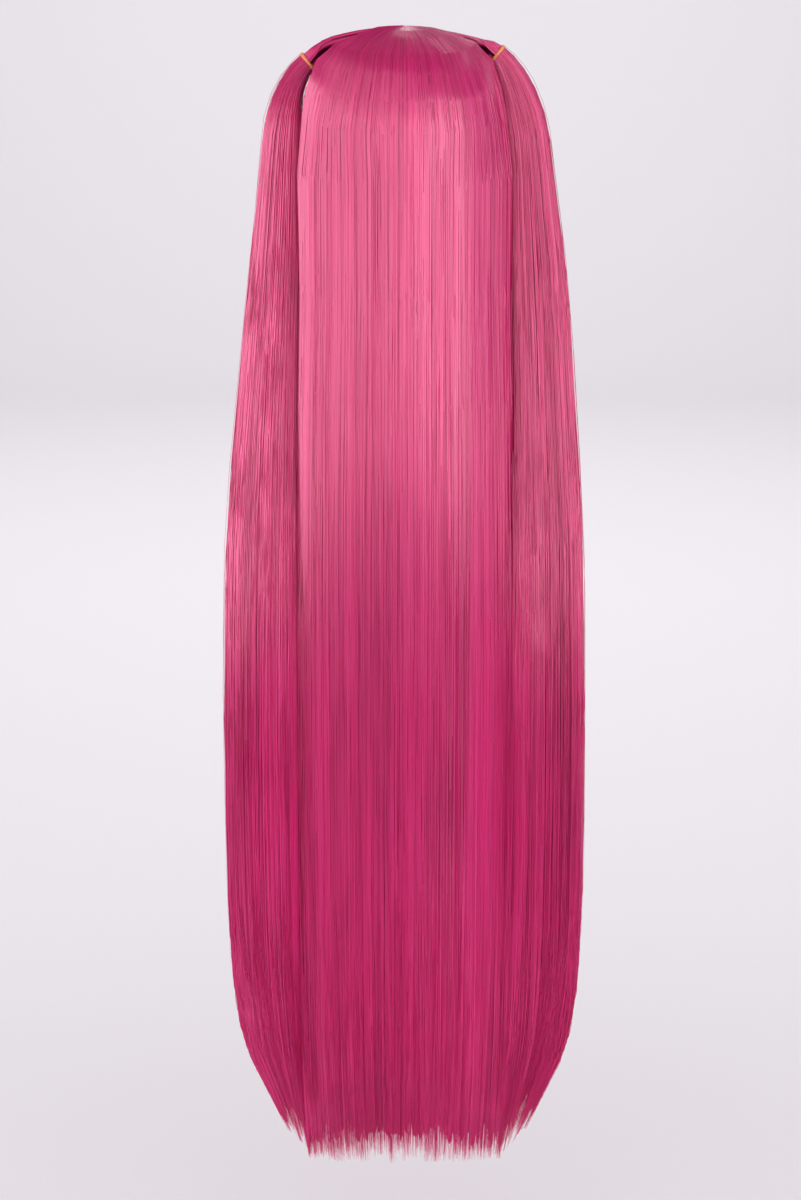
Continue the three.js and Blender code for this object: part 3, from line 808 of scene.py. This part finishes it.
share = np.linspace(0, 1, MASS_COLUMNS)
along = np.linspace(0, 1, MASS_ROWS)
tips = sum(soft_noise(share, [0], cells, 1, cells)[0] * TIP_TOOTH for cells in TIP_CELLS)
hung = back_drop_at(along)[:, None]
points, outward = back_sheet(share, along)
outer = points + outward * (back_locks(share, along, 0.5) - MASS_SINK)[..., None]
outer[..., 2] += BACK_DROP * (TIP_TRIM + tips) * np.clip(hung * 2 - 1, 0, 1) ** 2
taper = 0.3 + 0.7 * np.sqrt(1 - np.abs(2 * share - 1) ** 6)
depth = np.interp(hung, *zip(*DEPTH_AT)) * BACK_THICKNESS
inner = points - outward * (depth * taper)[..., None]
inner[..., 2] += outer[..., 2] - points[..., 2]
bed = on_head(unit(points - HEAD_CENTRE), np.full(points.shape[:2], CAP_WALL + LAY_BED))
blend = np.clip((along - FAN_SHARE + 0.02) / 0.06, 0, 1)[:, None, None]
inner = bed * (1 - blend) + inner * blend
back_mass = wall("back_hair_mass", outer, inner, massed_hair)
finish_piece(back_mass, "hair", "back_hair")

# %% [markdown]
# ### Strands of the back hair
#
# Two layers of long strands lie over the mass, the upper one more gathered into locks. The
# ends need far more hair than the length does, because there nothing lies behind them: short
# thin strands start inside the mass and run out to the tips.

# %% Strands of the back hair
GUIDE_COLUMNS = 241
GUIDE_ROWS = 90
BACK_LAYERS = [
    # seed, lift, sink, shortest, gather
    (11, 0.7 * MM, 1.5 * MM, 0.970, 0.3),
    (12, 1.1 * MM, 1.0 * MM, 0.975, 0.5),
]
guide_share = np.linspace(0, 1, GUIDE_COLUMNS)
guide_along = np.linspace(0, 1, GUIDE_ROWS)
points, outward = back_sheet(guide_share, guide_along)
back_guide = points + outward * back_locks(guide_share, guide_along, 0.2)[..., None]

for layer, (seed, lift, sink, shortest, gather) in enumerate(BACK_LAYERS):
    grow(
        f"back_hair_strands_{layer + 1}", back_guide, Count=1150, Steps=20, Width=1.05 * MM,
        Lift=lift, Sink=sink, Drift=0.012, Waves=2.5, Locks=60.0, Gather=gather,
        Shortest=shortest, Tip_width=0.15, Seed=seed,
    )
grow(
    "back_hair_tips", back_guide, Count=4900, Steps=5, Width=0.55 * MM, Lift=1.2 * MM, Sink=5 * MM,
    Drift=0.022, Waves=3.0, Locks=75.0, Gather=0.55, Shortest=0.96, Tip_width=0.1, Start=0.8,
    Bury=4 * MM, Seed=13,
)

# %% [markdown]
# ## Swept side hair
#
# On each side the hair is combed flat from the crown, the parting and the temple towards one
# point, and goes through the rubber band as a round bunch. A table gives the root line: where
# each lock starts on the head, and where on the bunch's round neck it ends. Between the two a
# lock lies on the head as far as a short way from the tie, then leaves it in a smooth curve.

# %% Shape of the swept hair
ROOT_ROWS = [
    # share, bearing, fall, turn on the neck, tautness
    (0.00, 160, 10.5, -100, 0.9),
    (0.10, 170, 5.5, -75, 1.0),
    (0.14, 6, 4, -55, 1.0),
    (0.20, 1.5, 16, -35, 1.0),
    (0.32, 0.8, 29, -5, 0.9),
    (0.42, 1.2, 39, 15, 0.7),
    (0.54, 28, 50, 45, 0.5),
    (0.66, 48, 64, 80, 0.3),
    (0.77, 62, 84, 115, 0.2),
    (0.88, 78, 102, 160, 0.1),
    (1.00, 106, 99, 215, 0.0),
]
ROOTS = np.array(ROOT_ROWS, float)
ROOT_DIRS = heading(ROOTS[:, 1], ROOTS[:, 2])
GATHER_FROM = 0.62
RIGHT_TAUTNESS = 0.45


def tie_frame(name, sign):
    """Middle of a tie, the way the hair passes through it, and two directions across it."""
    dip = math.radians(TIE_DIP)
    axis = np.array((sign * math.cos(dip), 0, -math.sin(dip)))
    up = np.array((sign * math.sin(dip), 0, math.cos(dip)))
    return tie_middle(name), axis, up, np.array((0.0, 1, 0))


def ring_points(frame, turn, radius, along):
    middle, axis, up, front = frame
    t = np.radians(turn)[..., None]
    radius = np.broadcast_to(radius, np.shape(turn))[..., None]
    return middle + along * axis + radius * (up * np.cos(t) + front * np.sin(t))


def bezier(points, t):
    a, b, c, d = points
    return (1 - t) ** 3 * a + 3 * (1 - t) ** 2 * t * b + 3 * (1 - t) * t**2 * c + t**3 * d


def side_sheet(name, sign, tie, share, along, height, fit):
    """Swept hair at a height above the cap's hair bed; fit is its radius in the tie."""
    rise = TAUT_LIFT * (1.0 if sign < 0 else RIGHT_TAUTNESS)
    frame = tie_frame(name, sign)
    start = unit(track(ROOTS[:, 0], ROOT_DIRS, share) * (sign, 1, 1))
    turn = track(ROOTS[:, 0], ROOTS[:, 3], share)
    taut = track(ROOTS[:, 0], ROOTS[:, 4], share)
    tie = np.broadcast_to(tie, start.shape)
    join = arc(tie, start, (GATHER_LEAD / angle_between(tie, start))[:, None])

    def over_cap(run):
        lift = rise * taut * run**1.5
        lay = height * (0.6 + 0.4 * min(1, run / 0.4))
        return on_head(arc(start, join, run), CAP_WALL + LAY_BED + lay + lift)

    runs = np.linspace(0, 1, 9)
    rows = [over_cap(run) for run in runs]
    keys = list(GATHER_FROM * runs)
    to = ring_points(frame, turn, fit, -BAND_WIDTH / 2 - SEAM)
    leave = rows[-1] - over_cap(0.9)
    reach = 0.4 * np.linalg.norm(rows[-1] - to, axis=-1, keepdims=True)
    curve = (rows[-1], rows[-1] + unit(leave) * reach, to - frame[1] * reach, to)
    for t in (0.2, 0.4, 0.6, 0.8, 1.0):
        rows.append(bezier(curve, t))
        keys.append(GATHER_FROM + (0.95 - GATHER_FROM) * t)
    rows.append(ring_points(frame, turn, fit, -0.1 * MM))
    keys.append(1.0)
    return track(keys, np.array(rows), along)


print("the swept hair starts at", len(ROOT_ROWS), "roots on each side")

# %% [markdown]
# ### Mass and strands of the swept hair
#
# Taut hair lies close, so the mass is a thin wall between the cap and the sheet, and its strands
# all reach the tie. The roots are mirrored from side to side, but each tie has its own height.

# %% Swept hair
SIDE_LOCKS = 11
SIDE_SINK = 2.4 * MM
SIDE_FIT = NECK_RADIUS - 1.4 * MM
share = np.linspace(0, 1, 105)
side_along = np.linspace(0, 1, 36)
side_locks = lock_relief(share, [0.5], SIDE_LOCKS, 8)[0] * MM
for (name, sign, _), tie in zip(SIDES, TIE_HEADINGS):
    low = HAIR_LAY - SIDE_SINK + side_locks
    outer = side_sheet(name, sign, tie, share, side_along, low, SIDE_FIT)
    inner = side_sheet(name, sign, tie, share, side_along, 0 * share, 0.3 * NECK_RADIUS)
    mass = wall(f"side_hair_{name}_mass", outer, inner, massed_hair)
    finish_piece(mass, "hair", f"side_hair_{name}")
    high = HAIR_LAY + side_locks
    sheet = side_sheet(name, sign, tie, share, side_along, high, NECK_RADIUS - 0.3 * MM)
    grow(
        f"side_hair_{name}_strands", sheet, sign > 0, Count=620, Steps=13, Width=0.9 * MM,
        Lift=0.5 * MM, Sink=1.6 * MM, Drift=0.012, Waves=2.0, Locks=16.0, Gather=0.0, Shortest=1.0,
        Tip_width=0.9, Seed=31 + sign,
    )

# %% [markdown]
# ## Fringe
#
# The photo shows the back alone, so the front is finished plainly: the hair in front of the
# parting falls over the cap's edge to a short straight fringe. Five rows over the head form
# are enough, each with its fall in the middle and at the ends.

# %% Fringe
FRINGE_ROWS = [
    # fall in the middle, fall at the ends, half width in degrees, lay
    (42, 54, 30, 0.6), (53, 60, 39, 1), (65, 68, 49, 1.1), (78, 80, 58, 1.1), (90, 92, 66, 0.8),
]
FRINGE_CUT = 0.97
FRINGE_SINK = 1.5 * MM


def fringe_sheet(share, along, height):
    across = 2 * share - 1
    rows = []
    for middle, edge, half, lay in FRINGE_ROWS:
        direction = heading(half * across, middle + (edge - middle) * across**2)
        rows.append(on_head(direction, CAP_WALL + LAY_BED + height * lay))
    return track(np.linspace(0, 1, len(rows)), np.array(rows), along)


FRINGE_LOCKS = 9
share = np.linspace(0, 1, 97)
fringe_along = np.linspace(0, 1, 22)
fringe_locks = lock_relief(share, [0.5], FRINGE_LOCKS, 5)[0] * MM
outer = fringe_sheet(share, fringe_along * FRINGE_CUT, FRINGE_LAY - FRINGE_SINK + fringe_locks)
inner = fringe_sheet(share, fringe_along * FRINGE_CUT, np.zeros_like(share))
finish_piece(wall("front_hair_mass", outer, inner, massed_hair), "hair", "front_hair")
sheet = fringe_sheet(share, fringe_along, FRINGE_LAY + fringe_locks)
grow(
    "front_hair_strands", sheet, False, Count=520, Steps=9, Width=0.85 * MM, Lift=0.6 * MM,
    Sink=1.5 * MM, Drift=0.02, Waves=2.0, Locks=18.0, Gather=0.5, Shortest=0.93, Tip_width=0.15,
    Seed=51,
)

# %% [markdown]
# ## Bunches
#
# Below its tie a bunch is a round neck that swells, turns down and spreads into a flat tail
# beside the back hair. Rings along a curve describe it, like the ribs of a ship. Its end is
# cut a little aslant, longest on the inside, so every column of the guide ends on its own cut
# line. The table's widths differ from side to side, because the right bunch is a little fuller.

# %% Shape of a bunch
TAIL_ROWS = [
    # drop, left width, right width, depth, setback
    (0.10, 0.50, 0.55, 0.72, 0.30),
    (0.15, 0.58, 0.66, 0.80, 0.42),
    (0.23, 0.70, 0.79, 0.92, 0.60),
    (0.33, 0.80, 0.83, 0.98, 0.76),
    (0.41, 0.93, 0.93, 1.00, 0.86),
    (0.50, 0.97, 0.96, 1.00, 0.94),
    (0.62, 1.00, 0.99, 0.95, 0.98),
    (0.76, 0.99, 1.00, 0.80, 1.00),
    (0.86, 0.93, 0.95, 0.56, 1.00),
    (0.90, 0.83, 0.87, 0.46, 1.00),
    (0.93, 0.69, 0.73, 0.36, 1.00),
    (0.965, 0.44, 0.50, 0.26, 1.00),
    (1.02, 0.12, 0.15, 0.18, 1.00),
]
TAILS = np.array(TAIL_ROWS)
CUT_LINE = [
    # share inboard of the outer edge, length as a share of the longest
    (0, 0.99), (0.3, 1.0), (0.6, 1.01), (1, 1.02),
]
NECK_PART = 0.34
TAIL_OVERLAP = 3 * MM
SEAM_GROOVE = 7 * MM
TUCK = {"left": 1.3 * MM, "right": 3.0 * MM}


def signed_power(value, power):
    return np.sign(value) * np.abs(value) ** power


def oval(sign, middle, along, width, depth, roundness, share, size):
    """Ring across a direction. It starts at its inner edge and goes round once."""
    across = -sign * unit(np.cross(along, (0, 1, 0)))
    forward = -sign * unit(np.cross(across, along))
    turn = 2 * np.pi * share
    c, s = signed_power(np.cos(turn), roundness), signed_power(np.sin(turn), roundness)
    wide, deep = width / 2 * c * size, depth / 2 * s * size
    return middle + wide[:, None] * across + deep[:, None] * forward


def back_half_at(drop):
    return BACK_HALF_WIDTH * track(HANG[:, 0], HANG[:, 1], drop * TAIL_DROP / BACK_DROP)


def tail_middle(sign, column, drop):
    width = TAIL_WIDTH * track(TAILS[:, 0], TAILS[:, column], drop)
    inside = back_half_at(drop) + SEAM - TAIL_OVERLAP * np.clip((drop - 0.3) / 0.1, 0, 1)
    tuck = TUCK["left"] if sign < 0 else TUCK["right"] / 2
    inside = inside - tuck * np.clip((0.3 - drop) / 0.1, 0, 1)
    forward = SEAM_GROOVE * np.clip((0.44 - drop) / 0.14, 0, 1) * (sign > 0)
    setback = TAIL_SETBACK * track(TAILS[:, 0], TAILS[:, 4], drop) - forward
    return np.array((sign * (inside + width / 2), -setback, -TAIL_DROP * drop))


def tail_key(drop):
    """Where along a strand a drop lies. The bend near the tie gets more than its share."""
    first = TAILS[0, 0]
    return NECK_PART + (1 - NECK_PART) * ((drop - first) / (1 - first)) ** 0.85


def tail_sheet(name, sign, share, along, slim=0.0, hollow=0.0, trim=0.0):
    """Rings of a bunch from its neck to its ends. slim is taken off it all round, hollow is
    how far its middle is open, and trim is taken off its length."""
    column = 1 if sign < 0 else 2

    def ring_size(drop):
        return np.full(len(share), 1 - hollow * (1 - drop**6))

    frame = tie_frame(name, sign)
    middle, axis, _, _ = frame
    first = TAILS[0]
    top_width, top_depth = TAIL_WIDTH * first[column], TAIL_DEPTH * first[3]
    hang_top = tail_middle(sign, column, first[0])
    fallen = middle[2] - hang_top[2]
    curve = (
        middle + 0.15 * MM * axis,
        middle + 0.27 * fallen * axis,
        hang_top + np.array((-0.02 * top_width * sign, 0.1 * top_width, 0.48 * fallen)),
        hang_top,
    )
    neck = 2 * NECK_RADIUS
    rows, keys = [], []
    for at in (0.15 * MM, BAND_WIDTH / 2 + SEAM):
        girth = neck - 2 * slim
        rows.append(oval(sign, middle + at * axis, axis, girth, girth, 1, share, ring_size(1)))
        keys.append(at * 0.3 * NECK_PART / 0.16)
    ease = np.linspace(0, 1, 24)
    for t in (0.16, 0.3, 0.46, 0.64, 0.82):
        grown = np.interp(t, np.linspace(-0.1, 1.05, 24), ease * ease * (3 - 2 * ease))
        width, depth = neck + (top_width - neck) * grown, neck + (top_depth - neck) * grown
        course = bezier(curve, t + 0.01) - bezier(curve, t - 0.01)
        tuck = TUCK[name] * (t**2 if sign < 0 else math.sin(math.pi * t))
        width, depth = width - 2 * slim + 1.4 * tuck, depth - 2 * slim
        centre = bezier(curve, t) - np.array((sign * tuck, 0, 0))
        rows.append(oval(sign, centre, course, width, depth, 1 - 0.2 * t, share, ring_size(1)))
        keys.append(NECK_PART * t)
    down = np.array((0, 0, -1.0))
    for row in TAILS:
        width, depth = TAIL_WIDTH * row[column] - 2 * slim, TAIL_DEPTH * row[3] - 2 * slim
        centre = tail_middle(sign, column, row[0])
        rows.append(oval(sign, centre, down, width, max(depth, 1 * MM), 0.8, share, ring_size(row[0])))
        keys.append(tail_key(row[0]))
    rows, keys = np.array(rows), np.array(keys)
    cut = np.interp((1 + np.cos(2 * np.pi * share)) / 2, *zip(*CUT_LINE)) - trim
    reach = tail_key(cut)
    return np.stack([track(keys, rows[:, c], along * reach[c]) for c in range(len(share))], 1)


print(f"a bunch is {TAIL_WIDTH:.3f} m wide and {TAIL_DEPTH:.3f} m deep at its fullest")

# %% [markdown]
# ### Hair of a bunch
#
# Like the curtain, a bunch is a mass under long strands, with finer hair that runs out at the
# tips. A few long flyaways stand off it, as they do on any real bunch, and break its outline.

# %% Mass and strands of a bunch
TAIL_LOCKS = 15
TAIL_RELIEF = 1.6 * MM
TAIL_SLIM = 2.8 * MM
TAIL_HOLLOW = 0.55
TAIL_TRIM = 0.040
TAIL_RAGGED = 0.014
ring_share = np.linspace(0, 1, 105)
tail_along = np.linspace(0, 1, 52)


def sunk_by(points, relief):
    """Points moved inwards, towards the middle of their own ring."""
    return points + unit(points - points.mean(1, keepdims=True)) * relief[..., None]


def tail_mass(name, sign, relief):
    ring = ring_share[:-1]
    ragged = TAIL_TRIM + TAIL_RAGGED * soft_noise(ring, [0], 40, 1, 27 + sign)[0]
    outer = tail_sheet(name, sign, ring, tail_along, TAIL_SLIM, 0, ragged)
    inner = tail_sheet(name, sign, ring, tail_along, TAIL_SLIM, TAIL_HOLLOW, ragged)
    outer = sunk_by(outer, relief[:, :-1])
    mass = wall(f"tail_{name}_mass", outer, inner, massed_hair, round_trip=True)
    finish_piece(mass, "hair", f"tail_{name}")


def tail_strands(name, sign, relief):
    sheet = sunk_by(tail_sheet(name, sign, ring_share, tail_along), relief * 0.7)
    grow(
        f"tail_{name}_strands", sheet, sign < 0, Count=1000, Steps=19, Width=1.05 * MM, Lift=0.9 * MM,
        Sink=1.6 * MM, Drift=0.014, Waves=2.5, Locks=46.0, Gather=0.5, Shortest=0.96, Tip_width=0.15,
        Seed=71 + sign,
    )
    grow(
        f"tail_{name}_tips", sheet, sign < 0, Count=1000, Steps=6, Width=0.55 * MM, Lift=2.2 * MM,
        Sink=3 * MM, Drift=0.03, Waves=3.0, Locks=60.0, Gather=0.4, Shortest=0.95, Tip_width=0.1,
        Start=0.8, Bury=3 * MM, Seed=81 + sign,
    )
    grow(
        f"tail_{name}_flyaways", sheet, sign < 0, Count=26, Steps=14, Width=0.4 * MM, Lift=4 * MM,
        Sink=0.0, Drift=0.10, Waves=5.0, Locks=30.0, Gather=0.0, Shortest=0.6, Tip_width=0.2,
        Seed=61 + sign,
    )


print("rings of a bunch:", len(tail_along), "of", len(ring_share), "points")

# %% [markdown]
# ### Hair across the seams
#
# High up, a dark seam parts each bunch from the curtain. Lower down the two mingle, and the
# seam is lost. Widening the bunch would only move the seam, so strands are laid over it on a
# small guide of its own: a sheet through two lines down the curtain and two down the bunch.

# %% Strands that bridge a seam
BRIDGE_COLUMNS = 25
BRIDGE_LEVELS = np.linspace(0.30, 0.99, 60)
BRIDGE_ON_CURTAIN = np.array([0.36, 0.42])
BRIDGE_ON_BUNCH = np.array([0.19, 0.24])
BRIDGE_LIFT = 1.0 * MM


def line_at_levels(line):
    """Points of a hanging line, read at the levels of the bridge."""
    line = line[::-1]
    at = [np.interp(-TAIL_DROP * BRIDGE_LEVELS, line[:, 2], line[:, axis]) for axis in range(3)]
    return np.stack(at, -1)


def tail_bridge(name, sign):
    on_bunch = BRIDGE_ON_BUNCH if sign < 0 else 1 - BRIDGE_ON_BUNCH
    bunch = tail_sheet(name, sign, on_bunch, tail_along)
    on_curtain = 0.5 + sign * BRIDGE_ON_CURTAIN
    curtain, _ = back_sheet(on_curtain, np.linspace(FAN_SHARE, 1, 60))
    anchors = [line_at_levels(sheet[:, column]) for sheet in (curtain, bunch) for column in (0, 1)]
    anchors = np.array(anchors)
    anchors[..., 1] -= BRIDGE_LIFT
    across = np.linspace(0, 1, BRIDGE_COLUMNS)
    bridge = np.moveaxis(track([0, 0.3, 0.7, 1], anchors, across), 0, 1)
    grow(
        f"tail_{name}_bridge", bridge, sign > 0, Count=260, Steps=13, Width=0.95 * MM,
        Lift=0.8 * MM, Sink=1.5 * MM, Drift=0.10, Waves=2.0, Locks=14.0, Gather=0.3, Shortest=0.85,
        Tip_width=0.15, Start=0.20, Bury=7 * MM, Seed=91 + sign,
    )


for name, sign, _ in SIDES:
    relief = lock_relief(ring_share, tail_along, TAIL_LOCKS, 20 + sign, True) * TAIL_RELIEF
    relief = relief * (0.3 + tail_along[:, None])
    tail_mass(name, sign, relief)
    tail_strands(name, sign, relief)
    tail_bridge(name, sign)

# %% [markdown]
# ## Rubber bands
#
# One orange band goes round each bunch twice. It is a single closed loop, so it has to cross
# itself once: the two turns lie side by side on the side that shows and change over beneath.
# Two tori would be simpler, but they would be two bands. A path round the bunch twice, with a
# round section swept along it, is the real thing.

# %% Rubber bands
LOOP_STEPS = 144
LOOP_SIDES = 12
LOOP_RADIUS = 9.9 * MM
LOOP_CROSSING = 0.4 * MM
LOOP_SHIFT = 1.15 * MM
RUBBER_THICK = 1.1 * MM
RUBBER_WIDE = 1.15 * MM
RUBBER = (0.90, 0.30, 0.11, 1)
RUBBER_DARK = (0.80, 0.22, 0.07, 1)
RUBBER_LIGHT = (0.98, 0.40, 0.16, 1)
rubber, rubber_tree, rubber_shader = principled("orange_rubber", RUBBER, 0.45)
place = add(rubber_tree, "ShaderNodeTexCoord").out("Object")
worn = add(rubber_tree, "ShaderNodeTexNoise", None, {"Vector": place, "Scale": 400, "Detail": 3})
shade = mix_colour(rubber_tree, worn, RUBBER_DARK, RUBBER_LIGHT)
rubber_tree.links.new(shade.socket, rubber_shader.inputs["Base Color"])

for name, sign, _ in SIDES:
    middle, axis, up, front = tie_frame(name, sign)
    phi = np.linspace(0, 4 * np.pi, LOOP_STEPS, endpoint=False)
    radius = LOOP_RADIUS + LOOP_CROSSING * np.sin(phi / 2) ** 8 * np.sign(np.sin(phi / 2))
    level = LOOP_SHIFT * np.cos(phi / 2)
    turned = phi + np.pi / 2
    out = up * np.cos(turned)[:, None] + front * np.sin(turned)[:, None]
    centre = middle + out * radius[:, None] + axis * level[:, None]
    round_it = np.linspace(0, 2 * np.pi, LOOP_SIDES, endpoint=False)
    section = out[:, None] * (RUBBER_THICK * np.cos(round_it))[None, :, None]
    section = section + axis * (RUBBER_WIDE * np.sin(round_it))[None, :, None]
    points = (centre[:, None] + section).reshape(-1, 3)
    i, j = np.arange(LOOP_STEPS)[:, None] * LOOP_SIDES, np.arange(LOOP_SIDES)
    far = (i + LOOP_SIDES) % (LOOP_STEPS * LOOP_SIDES)
    nxt = (j + 1) % LOOP_SIDES
    quads = np.stack(np.broadcast_arrays(i + j, far + j, far + nxt, i + nxt), -1).reshape(-1, 4)
    mesh = bpy.data.meshes.new(f"tie_{name}_band")
    mesh.from_pydata(points.tolist(), [], quads.tolist())
    shade_smooth(mesh)
    band = face_outwards(new_object(f"tie_{name}_band", mesh, rubber))
    finish_piece(band, "tie", f"tie_{name}")

# %% [markdown]
# ## Camera
#
# The camera stands 2.8 m behind the wig, a hand's breadth above the crown, and looks down a
# little. The focal length is given in pixels of the picture's height, because that is what can
# be worked out from a picture, and then turned into millimetres of lens.

# %% Camera
CAMERA_PLACE = (-0.004, -2.8, 0.05)
CAMERA_DIP = 0.2086
FRAME_HEIGHT = 1200
FOCAL_PIXELS = 2900
SENSOR = 36
camera_data = bpy.data.cameras.new("camera")
camera_data.sensor_width = SENSOR
camera_data.lens = FOCAL_PIXELS / FRAME_HEIGHT * SENSOR
camera = bpy.data.objects.new("camera", camera_data)
camera.location = CAMERA_PLACE
camera.rotation_euler = (math.pi / 2 - CAMERA_DIP, 0, 0)
bpy.context.scene.collection.objects.link(camera)
bpy.context.scene.camera = camera
print(f"lens {camera_data.lens:.1f} mm")

# %% [markdown]
# ## Floor and backdrop
#
# A studio hangs wide pale paper that runs down a wall and out over the floor in one bend, so
# no corner shows. Here it starts just behind the wig instead of under the camera: long
# vertical hair mirrors whatever floor lies in front of it, and would turn whitish below.

# %% Floor and backdrop
FLOOR_LEVEL = -BACK_DROP - 0.16
WALL_START = 6.5
WALL_BEND = 2.0
WALL_TOP = 3.6
STAGE_NEAR = -0.6
STAGE_HALF = 8.0
PAPER = (0.84, 0.805, 0.845, 1)
PAPER_DARK = (0.83, 0.795, 0.835, 1)
PAPER_LIGHT = (0.85, 0.815, 0.855, 1)
stage_material, stage_tree, stage_shader = principled("pale_paper", PAPER, 0.9)
grain = add(stage_tree, "ShaderNodeTexNoise", None, {"Scale": 2.0, "Detail": 1})
paper = mix_colour(stage_tree, grain, PAPER_DARK, PAPER_LIGHT)
stage_tree.links.new(paper.socket, stage_shader.inputs["Base Color"])
bend = np.radians(np.linspace(0, 90, 13))
wall_end = WALL_START + WALL_BEND
wall_y = np.concatenate([[STAGE_NEAR], WALL_START + WALL_BEND * np.sin(bend), [wall_end]])
wall_z = np.concatenate([[0], WALL_BEND * (1 - np.cos(bend)), [WALL_TOP]]) + FLOOR_LEVEL
rows = np.array([[(x, y, z) for x in (STAGE_HALF, -STAGE_HALF)] for y, z in zip(wall_y, wall_z)])
backdrop = guide("backdrop", rows)
backdrop.data.materials.append(stage_material)
shade_smooth(backdrop.data)
print(f"paper from y {wall_y[0]:.1f} to {wall_y[-1]:.1f} m, floor at {FLOOR_LEVEL:.3f} m")

# %% [markdown]
# ## Light
#
# The light is a studio's. Straight hanging hair acts like a wall of thin upright mirrors, so
# the height of the soft boxes decides where the band of light on the curtain starts and ends.
# One box would give one bright stripe down the middle, so five stand in a half ring round the
# camera's side, and every strand finds one of them. A wide box above lights the dome, a dim one
# the front, a low one the floor behind the wig, and a large one the paper.

# %% Lights
RING_LEVEL = 0.1
RING_TARGET = (0, 0, -0.1)
BOX_HEIGHT = 2.2
RING_OF_BOXES = [
    # name, angle round the wig from the camera, distance, width, watts
    ("box_back", 0, 3.3, 3.0, 35),
    ("box_back_left", -46, 3.3, 2.3, 26),
    ("box_back_right", 46, 3.3, 2.3, 26),
    ("box_left", -76, 3.0, 1.6, 34),
    ("box_right", 76, 3.0, 1.6, 32),
]
OTHER_BOXES = [
    # name, place, target, width, height, watts
    ("box_top", (0, -2.0, 2.0), (0, 0, 0), 4.0, 2.2, 21),
    ("box_paper", (0, 3.5, 3.4), (0, 7.0, -0.6), 7.0, 3.5, 255),
    ("box_front", (0, 2.6, 1.4), (0, 0, -0.4), 2.2, 1.0, 5),
    ("box_low", (0, 1.1, 0.5), (0, 1.1, -1), 3.2, 0.5, 6),
]
ROOM_COLOUR = (0.93, 0.91, 0.95, 1)
ROOM_LIGHT = 0.22


def soft_box(name, place, target, width, height, power):
    data = bpy.data.lights.new(name, "AREA")
    data.shape, data.size, data.size_y = "RECTANGLE", width, height
    data.energy = power
    light = bpy.data.objects.new(name, data)
    light.location = place
    light.rotation_euler = (Vector(target) - Vector(place)).to_track_quat("-Z", "Y").to_euler()
    bpy.context.scene.collection.objects.link(light)


for name, angle, distance, width, power in RING_OF_BOXES:
    turn = math.radians(angle)
    place = (distance * math.sin(turn), -distance * math.cos(turn), RING_LEVEL)
    soft_box(name, place, RING_TARGET, width, BOX_HEIGHT, power)
for box in OTHER_BOXES:
    soft_box(*box)
world = bpy.data.worlds.new("studio")
bpy.context.scene.world = world
world.use_nodes = True
background = world.node_tree.nodes["Background"]
background.inputs["Color"].default_value = ROOM_COLOUR
background.inputs["Strength"].default_value = ROOM_LIGHT
bpy.context.scene.view_settings.view_transform = "Standard"
print("soft boxes:", len(RING_OF_BOXES) + len(OTHER_BOXES))
